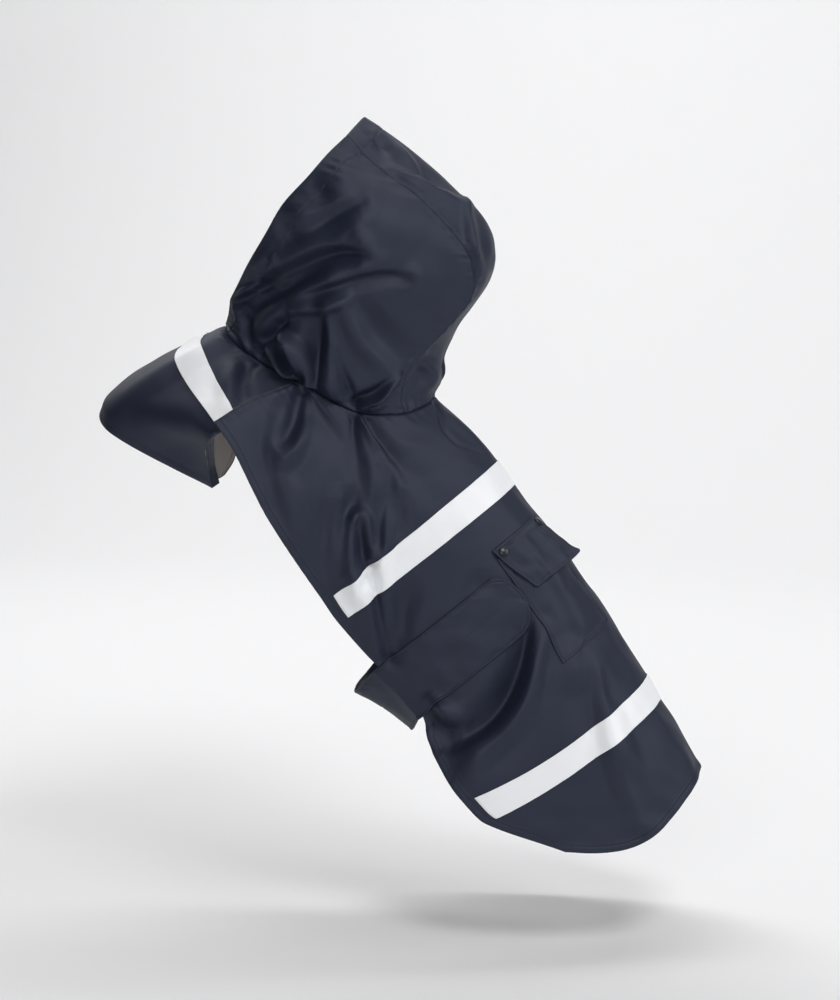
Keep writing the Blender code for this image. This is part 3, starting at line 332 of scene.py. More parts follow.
# Places where slack cloth of the hood sags over its neck seam: how far around them it does, and how far it
# stands out and hangs down.
Sag = namedtuple("Sag", "side x z reach out down")
HOOD_SAGS = [
    Sag(-1, -132, 38, 15, 6, 9),
    Sag(-1, -50, 14, 15, 5, 9),
    Sag(-1, -92, 24, 16, 3, 4),
    Sag(1, -136, 38, 16, 6, 8),
    Sag(1, -58, 14, 16, 5, 7),
]
GUSSET_FOLDS = [
    # creases of the crown, bright where it turns to the light
    Fold(-1, [(-56, 262), (-49, 256), (-24, 231), (-4, 206)], (3, 3.5, 4), (1, 4, 4.5, 1), 0.95, 0.2),
    Fold(-1, [(-40, 226), (-15, 211), (9, 199), (32, 186)], (3, 4), (1, 5, 5, 3), 0.95, 0.2),
    Fold(-1, [(30, 192), (38, 163), (45, 130), (44, 104)], (3, 4), (3, 5, 4, 0), 0.9, -0.2),
    Fold(-1, [(-30, 232), (-8, 214), (14, 202)], (5, 6), (0, -3, 0), 0.2),
    Fold(-1, [(-58, 250), (-48, 246), (-36, 236)], (4, 5), (0, -3, 0), 0.2),
    Fold(-1, [(-14, 40), (0, 30), (-1, 14), (-14, 6)], (4, 5), (0, 5, 4, 0), 0.55),
    Fold(-1, [(14, 70), (4, 46), (-6, 26)], (7, 6), (0, -4, -2), 0.35),
    Fold(1, [(-52, 256), (-22, 228), (2, 200)], (4, 5), (0, 3, 0), 0.4),
    Fold(1, [(-34, 222), (4, 200), (32, 182)], (4, 6), (0, 3, 1), 0.3),
    Fold(1, [(26, 188), (40, 154), (44, 116)], (5, 6), (1, 4, 0), 0.55),
    Fold(1, [(2, 196), (26, 178)], (6, 7), (-1, -3), 0.1),
    Fold(1, [(-10, 42), (4, 26), (-8, 8)], (5, 6), (0, 5, 0), 0.45),
    Fold(0, [(54, 128), (44, 92), (28, 60), (14, 30)], (9, 10), (0, -3, -4, -2), 0.25),
]
BIB_FOLDS = [
    Fold(-1, [(-204, 58), (-225, 47), (-247, 35), (-276, 19), (-316, -5)], (7, 9), (3.5, 4, 4, 3, 1), 0.8),
    Fold(1, [(-206, 57), (-228, 46), (-252, 33), (-290, 10)], (7, 9), (3, 4, 3, 1), 0.7),
    Fold(-1, [(-170, 38), (-178, 29), (-180, 18), (-176, 2)], (4, 6), (-2, -5, -5, -3), 0.55),
    Fold(-1, [(-184, 38), (-192, 24), (-194, 4)], (6, 8), (0, 4, 2), 0.25),
    Fold(-1, [(-196, 34), (-204, 14), (-206, -8)], (8, 9), (0, -3, -2)),
    Fold(1, [(-172, 34), (-184, 22), (-182, 2)], (5, 6), (-2, -5, -3), 0.45),
    Fold(1, [(-190, 36), (-200, 14)], (8, 9), (0, 3)),
    Fold(-1, [(-212, -8), (-250, -22), (-292, -22)], (12, 16), (1, 4, 1), 0.25),
    Fold(1, [(-214, -14), (-254, -26), (-290, -24)], (12, 14), (1, 3, 1)),
    Fold(-1, [(-206, -34), (-232, -46), (-268, -44)], (9, 12), (0, -3, 0)),
    Fold(0, [(-212, -66), (-240, -52)], (9, 10), (-3, -1)),
]

# ---- pocket, strap and snaps ------------------------------------------------------------------------------

DOUBLED = 30.0  # the turned edge of a piece that is doubled all over: no hem's step shows on it
POCKET_FAR, POCKET_NEAR = 0.10, 0.43  # columns of the cape under the patch's sides
POCKET_WIDE = (POCKET_NEAR - POCKET_FAR) * HALF_GIRTH
PATCH_TALL = STATION["patch_foot"] - STATION["patch_top"]
PATCH_STEP = 2.2
PATCH_STITCH, PATCH_HEM = 2.2, 5.0
PATCH_RELIEF = 0.6  # its narrow hem shows this share of a full hem's relief
PATCH_LIFT = 0.15  # its sewn edges lie this far above the cape's finest creases
PATCH_BULGE = 4.9  # the filled patch stands off the back by this in its middle
PATCH_FULLNESS = 1.5  # power of the bulge's curve across the patch
PATCH_HEAD = 0.12  # share of the bulge's curve that lies above the patch's top edge
PATCH_FLARE = (5.0, 11.5)  # how far its near side stands out at its top and its foot
PATCH_DROP = 2.0  # its foot hangs this much lower
FLAP_OVER = 0.015  # how much further than the patch the flap reaches on each side, in columns
FLAP_WIDE = POCKET_WIDE + 2 * FLAP_OVER * HALF_GIRTH
FLAP_TALL = STATION["flap_foot"] - STATION["flap_top"]
FLAP_CLOTH = 1.5  # two layers
FLAP_STEP = 1.9
FLAP_STITCH, FLAP_TOP_STITCH = 3.0, 2.0
FLAP_RELIEF = 0.7  # its edges show this share of a full hem's relief
FLAP_HELD = 8.0  # its sewn top edge holds it down over this stretch
FLAP_CORNER = 3.5  # radius of its lower corners
FLAP_TAPER = 13.0  # its lower edge is this much shorter, on the near side
FLAP_EASE = 1.2  # room between the flap and the patch
FLAP_CORNER_LIFT = 16.0  # how far its corner by the centre back curls up
STRAP_WIDE = STATION["strap_foot"] - STATION["strap_top"]
STRAP_CLOTH = 1.6  # two layers
STRAP_STEP, STRAP_RUN_STEP = 2.0, 2.2  # across it and along it
STRAP_STITCH = 2.6
STRAP_END = 0.458  # column of its round end on the left flank
STRAP_CORNER = 0.09  # how far its corners are rounded back, in columns
STRAP_CURL, STRAP_CURL_REACH = 1.2, 2.2  # its end lifts by this, over this many times its corners' rounding
STRAP_DROP = 34.0  # how far it hangs below the cape's lower edges
STRAP_TWIST = 8.0  # its front edge hangs this much lower than its middle
STRAP_DRIFT = 9.0  # and its lowest stretch lies this much nearer to the tail
STRAP_BELLY = (0.6, 0.2)  # at this share of its half width it has risen again by this share of its drop
STRAP_RUN_OUT = 5.0  # it leaves the cape's lower edges straight over this length
STRAP_LAP = 0.10  # share of the half girth over which its sewn end lies inside the right flank
SNAP_DOWN = 6.5  # from the flap's top edge to the middle of a cap
SNAP_LIFT = 0.3  # between the cap's foot and the cloth
SNAP_ACROSS = {"left": 0.09, "right": 0.91}  # shares of the flap's width

# ---- curves and tables ------------------------------------------------------------------------------------


def hermite(xs, ys, at):
    """Smooth curve through the rows of ys, which stand at the places xs, read at an array of places."""
    xs, ys = np.asarray(xs, float), np.asarray(ys, float)
    at = np.clip(np.asarray(at, float), xs[0], xs[-1])
    k = np.arange(len(xs))
    low, high = np.maximum(k - 1, 0), np.minimum(k + 1, len(xs) - 1)
    run = xs[high] - xs[low]
    slopes = (ys[high] - ys[low]) / (run[:, None] if ys.ndim > 1 else run)
    i = np.clip(np.searchsorted(xs, at) - 1, 0, len(xs) - 2)
    span = xs[i + 1] - xs[i]
    t = (at - xs[i]) / span
    if ys.ndim > 1:
        t, span = t[..., None], span[..., None]
    return (
        (1 + 2 * t) * (1 - t) ** 2 * ys[i]
        + t * (1 - t) ** 2 * span * slopes[i]
        + t * t * (3 - 2 * t) * ys[i + 1]
        + t * t * (t - 1) * span * slopes[i + 1]
    )


def read(rows, key, column, at):
    """One column of a table, read smoothly between its rows."""
    return hermite([getattr(row, key) for row in rows], [getattr(row, column) for row in rows], at)


def lengths(points):
    """Distance of each point of a line from its start."""
    return np.concatenate(([0.0], np.cumsum(np.linalg.norm(np.diff(points, axis=0), axis=1))))


def curve_through(points, share):
    """Points at shares of the length of the smooth curve through a few points."""
    points = np.asarray(points, float)
    places = lengths(points)
    return hermite(places / places[-1], points, share)


def ease(t):
    """Smooth step from 0 to 1 as t does so."""
    t = np.clip(t, 0.0, 1.0)
    return t * t * (3 - 2 * t)


def unit(vectors):
    """Vectors made 1 long."""
    return vectors / np.maximum(np.linalg.norm(vectors, axis=-1, keepdims=True), 1e-9)


# Places beside a worked border, close together over its fold and over its stitch line.
BORDER = (0.0, 0.45, 1.0, 1.8, 2.8, 4.0, 5.2, 5.9, 6.5, 7.1, 7.8, 8.4, 9.2, 10.6, 12.6)


def marks(length, step, start=True, end=True):
    """Places along a length, closely spaced where it starts and ends at a worked border."""
    head = [m for m in BORDER if m < length / 2.2] if start else [0.0]
    tail = [length - m for m in reversed(BORDER) if m < length / 2.2] if end else [length]
    strips = max(2, round((tail[0] - head[-1]) / step))
    middle = np.linspace(head[-1], tail[0], strips + 1)[1:-1]
    return np.array([*head, *middle, *tail])


# ---- surfaces ---------------------------------------------------------------------------------------------

# Grids of a piece's outer face: points, unit normals, places on the cut cloth in mm, distances from the
# nearest turned edge, and the points of its inner face.
Surface = namedtuple("Surface", "points normals flat edge inner")
NO_EDGE = 99.0  # distance from a turned edge where there is none


def grid_normals(points, inside):
    """Unit normals of a grid of points, turned away from a point in the hollow."""
    normal = unit(np.cross(np.gradient(points, axis=0), np.gradient(points, axis=1)))
    return -normal if np.sum(normal * (points - inside)) < 0 else normal


def lowest(lift):
    """Lowest lift around each point, softened: an inner face laid below it stays under every fold."""
    low = lift
    rows, columns = lift.shape
    for _ in range(2):
        padded = np.pad(low, 1, mode="edge")
        around = [padded[i : i + rows, j : j + columns] for i in range(3) for j in range(3)]
        low = np.min(around, axis=0)
    for _ in range(2):
        padded = np.pad(low, 1, mode="edge")
        low = (padded[:-2, 1:-1] + padded[2:, 1:-1] + padded[1:-1, :-2] + padded[1:-1, 2:] + 2 * low) / 6
    return np.minimum(low, lift)


LAYER_FADE = 5.0  # past this distance from its border the inner face runs below the folds


def dressed(points, normal, lift, inside, border):
    """A panel's outer and inner points: its folds lift the cloth, which is one layer thick at its border."""
    outer = points + normal * lift[..., None]
    free = ease(border / LAYER_FADE)[..., None]
    under = points + normal * (lowest(lift) - CLOTH)[..., None]
    near = outer - grid_normals(outer, inside) * CLOTH
    return outer, free * under + (1 - free) * near


LINE_STEP = 0.3  # a line is measured from at points this far apart


def along_line(line, places, at):
    """A line's rows, which stand at places, read straight between them."""
    return np.stack([np.interp(at, places, line[:, k]) for k in range(3)], axis=1)


def distance_to(points, *lines):
    """Distance of each point of a grid from the nearest of some lines of points."""
    dense = []
    for line in lines:
        places = lengths(line)
        fine = np.linspace(0, places[-1], max(2, int(places[-1] / LINE_STEP)))
        dense += list(along_line(line, places, fine))
    tree = KDTree(len(dense))
    for i, p in enumerate(dense):
        tree.insert(p, i)
    tree.balance()
    flat = points.reshape(-1, 3)
    return np.array([tree.find(p)[2] for p in flat]).reshape(points.shape[:-1])


def index_at(values, places):
    """Fractional indexes at which a rising row of places has these values."""
    return np.interp(values, places, np.arange(len(places)))


def spread(row, like):
    """A row of values for each column of a grid, or a column of them for each row, over the whole grid."""
    return np.broadcast_to(row, like.shape[:2])


def sewn_in(points, inner, flat, edge, border, seam, inward, depth=ALLOWANCE):
    """Draws one border of a panel into its seam, and adds the row of cloth turned inside past it."""
    grids = (points, inner, flat, edge)
    points, inner, flat, edge = (grid if border == "top" else np.swapaxes(grid, 0, 1) for grid in grids)
    first, nxt = (-1, -2) if border == "right" else (0, 1)
    points, inner = points.copy(), inner.copy()
    points[first] = seam + inward * SEAM_TUCK
    turned = seam + inward * np.reshape(SEAM_TUCK + depth, (-1, 1))
    back = CLOTH * unit(points[nxt] - points[first])
    inner[first] = points[first] + back + inward * CLOTH
    past = flat[first] + ALLOWANCE * unit(flat[first] - flat[nxt])
    grids = []
    for grid, row in ((points, turned), (inner, turned + back), (flat, past), (edge, edge[first])):
        grown = [grid, row[None]] if first else [row[None], grid]
        grown = np.concatenate(grown)
        grids.append(grown if border == "top" else np.swapaxes(grown, 0, 1))
    return grids


# Section of a fold, where x is the distance from its route in widths of it.
FOLD_REACH = 5.5  # a fold is left off further away than this
FOLD_GAIN = 1.45  # brings its crown up to its height
CROWN, CROWN_PINCH = 0.3, 0.26  # how round the crown of a soft fold is, and what a crisp one takes off that
FOOT = 0.14  # how softly its flanks run out
SKIRT, SKIRT_WIDTH = 0.1, 2.6  # faint swell of the cloth around it
LEAN_REACH = 30.0  # a fold leans fully at this distance


def fold_lift(folds, side, a, b):
    """How far the folds raise each place (a, b) of a piece's own plane."""
    total = np.zeros(np.shape(a))
    for fold in folds:
        stops = np.linspace(0, 1, 4 * len(fold.route))
        route = curve_through(fold.route, stops)
        reach = FOLD_REACH * max(fold.widths)
        low, high = route.min(axis=0) - reach, route.max(axis=0) + reach
        near = (side == fold.side) | (fold.side == 0)
        near &= (a > low[0]) & (a < high[0]) & (b > low[1]) & (b < high[1])
        place = np.stack([a[near], b[near]], axis=-1)
        nearest, share, turned = np.full(len(place), np.inf), np.zeros(len(place)), np.zeros(len(place))
        for start, end, first, last in zip(route, route[1:], stops, stops[1:]):
            run, off = end - start, place - start
            t = np.clip((off @ run) / (run @ run), 0.0, 1.0)
            away = np.linalg.norm(off - t[:, None] * run, axis=1)
            closer = away < nearest
            nearest = np.where(closer, away, nearest)
            share = np.where(closer, first + t * (last - first), share)
            beside = (run[0] * off[:, 1] - run[1] * off[:, 0]) / LEAN_REACH
            turned = np.where(closer, np.tanh(beside), turned)
        width = np.interp(share, np.linspace(0, 1, len(fold.widths)), fold.widths)
        height = hermite(np.linspace(0, 1, len(fold.heights)), fold.heights, share)
        x = nearest / (width * (1 - fold.lean * turned))
        fall = 1 - np.hypot(x / 2, CROWN - CROWN_PINCH * fold.crisp)
        crown = 0.5 * (fall + np.hypot(fall, FOOT))
        total[near] += FOLD_GAIN * height * (crown + SKIRT * np.exp(-((x / SKIRT_WIDTH) ** 2)))
    return total


SAG_FADE = 6.0  # sags die out over this distance before a seam


def sagged(points, normal, sags, side, border):
    """Points after the sags: out from the surface and down, with the border left in its seam."""
    for sag in sags:
        if side == sag.side:
            away = np.hypot(points[..., 0] - sag.x, points[..., 2] - sag.z)
            share = (np.exp(-((away / sag.reach) ** 2)) * ease(border / SAG_FADE))[..., None]
            points = points + share * (normal * sag.out - np.array([0, 0, sag.down]))
    return points


def slack(a, b, seed, height, shortest=26.0, longest=80.0, waves=14):
    """Faint uneven swells of cloth that nothing stretches."""
    draw = np.random.default_rng(seed)
    total = np.zeros(np.shape(a))
    for _ in range(waves):
        length = shortest * (longest / shortest) ** draw.random()
        heading, phase = draw.random(2) * 2 * math.pi
        total += np.sin((a * math.cos(heading) + b * math.sin(heading)) * 2 * math.pi / length + phase)
    return height * total / math.sqrt(waves)


def bump(distance, place, width):
    """Soft ridge of height 1 at a place."""
    return np.exp(-(((distance - place) / width) ** 2))


TURN_STEP, TURN_STEP_WIDE = 0.45, 1.6  # the step in the cloth where the layer turned under it ends
FOLD_ROUND, FOLD_ROUND_WIDE = 0.5, 1.2  # the rounding of its folded edge
STITCH_DRAW, STITCH_DRAW_WIDE = 0.5, 0.8  # the groove that a stitch line draws in
PLUMP = 0.18  # the cloth stands this high between the fold and the stitches


def hem_profile(distance, stitch=HEM_STITCH, hem=HEM):
    """Lift of a turned edge: rounded at the fold, a stitch line drawn in, a faint step where it ends."""
    double = TURN_STEP * (1 - ease((distance - hem + 0.6) / TURN_STEP_WIDE))
    rolled = -FOLD_ROUND * np.clip(1 - distance / FOLD_ROUND_WIDE, 0, 1) ** 2
    drawn = STITCH_DRAW * bump(distance, stitch, STITCH_DRAW_WIDE)
    return double + rolled - drawn + PLUMP * bump(distance, stitch / 2, stitch / 3)


SEAM_ROLL = 1.6  # width of the roll of an edge into its seam, and the power of its curve
SEAM_PLUMP = (0.35, 3.0, 2.2)  # height, place and width of the swell over the allowance turned under it


def seam_profile(distance):
    """Lift of an edge that is sewn to the next panel: it rolls in, over the allowance turned under it."""
    rolled = -SEAM_TUCK * np.clip(1 - distance / SEAM_ROLL, 0, 1) ** SEAM_ROLL
    height, place, width = SEAM_PLUMP
    return rolled + height * bump(distance, place, width)


PUCKER_WAVES = (9.0, 13.0, 19.0, 31.0)
PUCKER_START = 2.5  # the seam itself holds the cloth flat, up to this distance


def pucker(distance, along, seed, reach=13.0, height=0.4):
    """Small ripples square to a seam, where its thread draws the cloth up."""
    draw = np.random.default_rng(seed)
    wave = np.zeros(np.shape(along))
    for length in PUCKER_WAVES:
        wave += np.sin(along * 2 * math.pi / length + draw.random() * 7)
    return height * 0.5 * wave * np.exp(-((distance / reach) ** 2)) * ease(distance / PUCKER_START)


# ---- neck and shoulder seams ------------------------------------------------------------------------------


def neck_point(turn):
    """Points of the neck seam on the dog's left: turn 0 at the withers, 1 at the throat."""
    return curve_through(NECK_SEAM, turn)


def shoulder_point(share):
    """Points of the left shoulder seam, from the neck seam to the cape's front tip."""
    return curve_through([neck_point(np.array(NECK_END)), SHOULDER_MIDDLE, FRONT_TIP], share)


# ---- cape -------------------------------------------------------------------------------------------------

TRUNK_INSIDE = ALONG * 200 + INWARD * 110  # points in the hollows, which tell the inside from the outside
NECK_INSIDE = np.array([-104.0, 0.0, -10.0])
TO_LEFT = np.array([0.0, -1.0, 0.0])
MIRROR = np.array([1, -1, 1])


def trunk_point(s, turn):
    """Points of the trunk form on the dog's left: turn 0 at the centre back, 1 at the lower edge."""
    crown, depth = read(TRUNK, "s", "crown", s), read(TRUNK, "s", "depth", s)
    width, flare = read(TRUNK, "s", "width", s), read(TRUNK, "s", "flare", s)
    angle = turn * math.pi / 2
    half = width * np.sin(angle) + flare * turn**3
    into = crown + (depth - crown) * (1 - np.cos(angle))
    return s[..., None] * ALONG + into[..., None] * INWARD + half[..., None] * TO_LEFT


def turn_at(points):
    """Turn of the trunk form at each point's distance along and in from the back line."""
    s = points @ ALONG
    crown, depth = read(TRUNK, "s", "crown", s), read(TRUNK, "s", "depth", s)
    return np.arccos(1 - np.clip((points @ INWARD - crown) / (depth - crown), 0, 1)) * 2 / math.pi


def front_line(c):
    """Points of the cape's front border: the neck seam, then the shoulder seam."""
    on_neck = neck_point(np.minimum(c, NECK_END))
    on_shoulder = shoulder_point(np.clip((c - NECK_END) / (1 - NECK_END), 0, 1))
    return np.where((c <= NECK_END)[:, None], on_neck, on_shoulder)


def station_point(station, c):
    """s and turn of the cape's cross line that passes the centre back at a station."""
    edge, bow, reach = (read(CAPE, "centre", column, station) for column in ("edge", "bow", "reach"))
    return station + (edge - station) * c * c + bow * np.sin(math.pi * c * c), reach * c


FRONT_LENGTH = 150.0  # of the cape's first stretch, from its front border to the upper tape, on the average
PLAIN_BACK = 78.0  # the cape has few folds nearer to the centre back than this
PLAIN_STEP, FOLDED_STEP = 2.1, 1.9  # between columns there, and where the cape is folded
FRONT_STEP, STATION_STEP = 1.9, 2.2  # between cross rows
SHOULDER_STITCH, SHOULDER_TURN = 2.2, 7.0  # of the shoulder seam's topstitched edge
SHOULDER_TUCK = 0.2  # that edge hardly goes in


def cape_places():
    """Signed columns of the cape, shares of its front stretch, and stations of the rest."""
    plain = np.arange(0, PLAIN_BACK, PLAIN_STEP)
    half = np.concatenate([plain, PLAIN_BACK + marks(HALF_GIRTH - PLAIN_BACK, FOLDED_STEP, start=False)])
    columns = np.concatenate([-half[::-1], half[1:]]) / HALF_GIRTH
    front = marks(FRONT_LENGTH, FRONT_STEP, end=False)[:-1] / FRONT_LENGTH
    first = STATION["tape_upper_top"]
    stations = first + marks(STATION["hem"] - first, STATION_STEP, start=False)
    return columns, front, stations


def cape_surface():
    """The cape's outer face with its folds, its columns, the row of its first station, its stations, and its
    distances from the hem and from its front border."""
    columns, front, stations = cape_places()
    c = np.abs(columns)
    start = front_line(c)
    s_start, turn_start = start @ ALONG, turn_at(start)
    s_end, turn_end = station_point(STATION["tape_upper_top"], c)
    off_form = start - trunk_point(s_start, turn_start)
    rows = []
    for t in front:
        turn = turn_start + ease(t) * (turn_end - turn_start)
        rows.append(trunk_point(s_start + t * (s_end - s_start), turn) + (1 - t) ** 2 * off_form)
    rows += [trunk_point(*station_point(station, c)) for station in stations]
    points = np.array(rows)
    points[..., 1] *= np.where(columns > 0, -1, 1)
    normal = grid_normals(points, TRUNK_INSIDE)
    s = points @ ALONG
    w = spread(c * HALF_GIRTH, points)
    side = spread(np.sign(columns), points)
    neck = np.abs(columns) <= NECK_END
    from_front = distance_to(points, points[0])
    from_hem = distance_to(points, points[:, 0], points[:, -1], points[-1])
    along = spread(columns * HALF_GIRTH, points)
    lift = ease(from_front / FOLD_FADE) * fold_lift(CAPE_FOLDS, side, s, w)
    lift += ease(from_front / SLACK_FADE) * slack(s, along, seed=3, height=0.45)
    lift += pucker(from_front, along, seed=4)
    lift += pucker(from_hem, s + 0.7 * along, seed=5, reach=9.0, height=0.18)
    shoulder = hem_profile(from_front, SHOULDER_STITCH, SHOULDER_TURN)
    lift += np.where(neck, seam_profile(from_front), shoulder)
    lift += hem_profile(from_hem)
    seam = points[0]
    edge = np.minimum(from_hem, np.where(neck, NO_EDGE, from_front + 4))
    points, inner = dressed(points, normal, lift, TRUNK_INSIDE, np.minimum(from_hem, from_front))
    inward = np.where(neck[:, None], unit(NECK_INSIDE - seam), -normal[0])
    depth = np.where(neck, ALLOWANCE, SHOULDER_TUCK)
    flat = np.stack([along, s], axis=-1)
    points, inner, flat, edge = sewn_in(points, inner, flat, edge, "top", seam, inward, depth)
    surface = Surface(points, grid_normals(points, TRUNK_INSIDE), flat, edge, inner)
    return surface, columns, 1 + len(front), stations, from_hem, from_front


def sample(surface, rows, columns):
    """Points and normals of a surface between its grid's rows and columns."""
    i = np.clip(rows.astype(int), 0, surface.points.shape[0] - 2)
    j = np.clip(columns.astype(int), 0, surface.points.shape[1] - 2)
    t, u = (rows - i)[..., None], (columns - j)[..., None]

    def blend(grid):
        near = (1 - u) * grid[i, j] + u * grid[i, j + 1]
        far = (1 - u) * grid[i + 1, j] + u * grid[i + 1, j + 1]
        return (1 - t) * near + t * far

    return blend(surface.points), unit(blend(surface.normals)), blend(surface.flat)


def laid_on(surface, rows, columns, lift):
    """Surface of a piece that lies on another one, over a mesh of its rows and columns."""
    if np.ndim(rows) == 1:
        rows, columns = np.meshgrid(rows, columns, indexing="ij")
    points, normals, flat = sample(surface, rows, columns)
    points = points + normals * np.asarray(lift)[..., None]
    made = unit(np.cross(np.gradient(points, axis=0), np.gradient(points, axis=1)))
    if np.sum(made * normals) < 0:
        made = -made
    return Surface(points, made, flat, np.full(points.shape[:2], NO_EDGE), None)


# ---- bib --------------------------------------------------------------------------------------------------

BIB_INSIDE = np.array([-215.0, 0.0, -60.0])
BIB_LENGTH = 150.0  # from the neck seam to the hem, on the cloth
BIB_HALF = 125.0  # from the ridge to the side edge
BIB_STEP = 2.4
LAP = 5.0  # how far the bib's edge goes in under the cape along the shoulder seam
SHOULDER_END = BIB_LEVEL["tape_foot"]  # level at which the bib's side edge leaves the shoulder seam
REAR_HEM = SHOULDER_END - 0.03  # its hem starts at this level
# Levels of the bib's side edge, and the cape's columns that they are sewn to.
SHOULDER_LEVELS = (0.0, BIB_LEVEL["tape_top"], 0.26, SHOULDER_END)
SHOULDER_COLUMNS = (NECK_END, 0.9125, 0.975, 1.0)
HOLD_START, HOLD_END = 0.07, 0.3  # levels over which the shoulder seam takes hold of the bib, and lets it go
COVERED = (14.0, 8.0, 4.0)  # the cape covers the bib's sides this deep, fading over, and up to this end


def bib_half(cape, side, levels, u):
    """Half of the bib's points, from the ridge to the side edge, before its folds."""
    surface, columns, lap_row = cape
    border = "side" if side < 0 else "right"

    def side_edge(v):
        edge = read(BIB, "v", border, np.array(v)) + max(0.0, 1 - v / SHOULDER_END) ** 2 * to_neck[-1]
        return edge if side < 0 else edge * MIRROR

    places = [-BIB_CREASE, 0, BIB_CREASE, 1]
    top = hermite(places, [BIB[0].crease * MIRROR, BIB[0].ridge, BIB[0].crease, BIB[0].side], u)
    to_neck = neck_point(1 - (1 - NECK_END) * u) - top
    rows = []
    for v in levels:
        ridge, crease, edge = (read(BIB, "v", column, np.array(v)) for column in ("ridge", "crease", border))
        settle = max(0.0, 1 - v / SHOULDER_END) ** 2
        free = ease((v - SHOULDER_END) / REAR_FREE)
        across = u + free * (np.minimum(u / BIB_IN, 1) - u)
        turned = free * np.maximum(0, u - BIB_IN) / (1 - BIB_IN)
        row = hermite(places, [crease * MIRROR, ridge, crease, edge], across) + settle * to_neck
        row += turned[:, None] * np.array(REAR_TURN)
        row[:, 1] *= -side
        sewn = min(v, SHOULDER_END)
        column = side * np.interp(sewn, SHOULDER_LEVELS, SHOULDER_COLUMNS)
        at = index_at(column, columns)
        point, normal, _ = sample(surface, np.array([float(lap_row)]), np.array([at]))
        hold = ease(v / HOLD_START) * (1 - ease((v - SHOULDER_END) / HOLD_END))
        row += hold * (u**3)[:, None] * (point - normal * (CLOTH + 2 * GAP) - side_edge(sewn))
        rows.append(row)
    return np.array(rows)


def bib_surface(cape):
    """The bib's outer face with its folds, its levels and columns, and its distance from the hem. Its inner
    face is all backing, as its hem is turned outwards under the stitches."""
    levels = marks(BIB_LENGTH, BIB_STEP) / BIB_LENGTH
    half = marks(BIB_HALF, BIB_STEP, start=False) / BIB_HALF
    left, right = (bib_half(cape, side, levels, half) for side in (-1, 1))
    points = np.concatenate([left[:, ::-1], right[:, 1:]], axis=1)
    columns = np.concatenate([-half[::-1], half[1:]])
    normal = grid_normals(points, BIB_INSIDE)
    side = spread(np.sign(columns), points)
    along = spread(columns * BIB_HALF, points)
    down = spread((levels * BIB_LENGTH)[:, None], points)
    free = levels >= REAR_HEM
    from_neck = distance_to(points, points[0])
    from_hem = distance_to(points, points[free][:, 0], points[free][:, -1], points[-1])
    lift = ease(from_neck / FOLD_FADE) * fold_lift(BIB_FOLDS, side, points[..., 0], points[..., 2])
    lift += ease(from_neck / BIB_SLACK_FADE) * slack(down, along, seed=11, height=0.4)
    lift += pucker(from_neck, along, seed=12, height=0.45)
    lift += seam_profile(from_neck) + hem_profile(from_hem)
    lift += pucker(from_hem, down + along, seed=13, reach=9.0, height=0.2)
    deep, fade, stop = COVERED
    covered = ease((np.abs(along) - (BIB_HALF - deep)) / fade) * (down < SHOULDER_END * BIB_LENGTH - stop)
    seam = points[0]
    points, inner = dressed(points, normal, lift * (1 - covered), BIB_INSIDE, np.minimum(from_hem, from_neck))
    flat = np.stack([along, down], axis=-1)
    backed = np.full(points.shape[:2], NO_EDGE)
    points, inner, flat, backed = sewn_in(points, inner, flat, backed, "top", seam, unit(NECK_INSIDE - seam))
    return Surface(points, grid_normals(points, BIB_INSIDE), flat, backed, inner), levels, columns, from_hem


# ---- hood -------------------------------------------------------------------------------------------------

HOOD_INSIDE = np.array([-90.0, 0.0, 110.0])
HOOD_HEIGHT = 290.0  # from the neck seam to the brow, on the cloth
HOOD_AROUND = 190.0  # of a side panel, from its edge band to the gusset seam
GUSSET_HALF = 56.0  # half of the gusset's width
HOOD_STEP = 2.1
RING_SAMPLES = 400
EDGE_BAND = 26.0  # columns keep their distance from the face edge over this width,
BAND_SHARE = 0.55  # or over this share of a ring, where that is less
# Their places there, close together over the fold and over the casing's stitch line.
CASING_COLUMNS = (11.5, 13.5, 15.5, 17.5, 19.7, 20.4, 21.0, 21.6, 22.3, 24.0)
BAND_COLUMNS = np.array([*(m for m in BORDER if m < 10), *CASING_COLUMNS])
CASING_HOLD = 0.35  # the face edge's casing lets this share of a fold through
CASING_TURN = CASING + 1.5  # where the layer turned under it ends


def ring_points(level, turns):
    """Points of a hood ring on the dog's left at neck-seam turns, before its folds."""

    def ring(at_level, at_turns):
        corners = [read(HOOD, "level", part, np.array(at_level)) for part in HoodRing._fields[1:]]
        back, front, rim = (max(np.linalg.norm(b - a), 0.001) for a, b in zip(corners, corners[1:]))
        crown, seam, side, edge = corners
        places = [-back, 0.0, back, back + front, back + front + rim]
        before = back * at_turns / GUSSET_TURN
        after = back + (front + rim) * (at_turns - GUSSET_TURN) / (1 - GUSSET_TURN)
        place = np.where(at_turns <= GUSSET_TURN, before, after)
        return hermite(places, [seam * MIRROR, crown, seam, side, edge], place)

    points = ring(level, turns)
    if level < HOOD_SETTLE:
        points = points + (1 - level / HOOD_SETTLE) ** 2 * (neck_point(turns) - ring(0.0, turns))
    return points


def hood_borders(from_neck, from_seam, from_edge):
    """Lift of a hood panel's two kinds of seams and of its casing."""
    return seam_profile(from_neck) + seam_profile(from_seam) + hem_profile(from_edge, CASING, CASING_TURN)


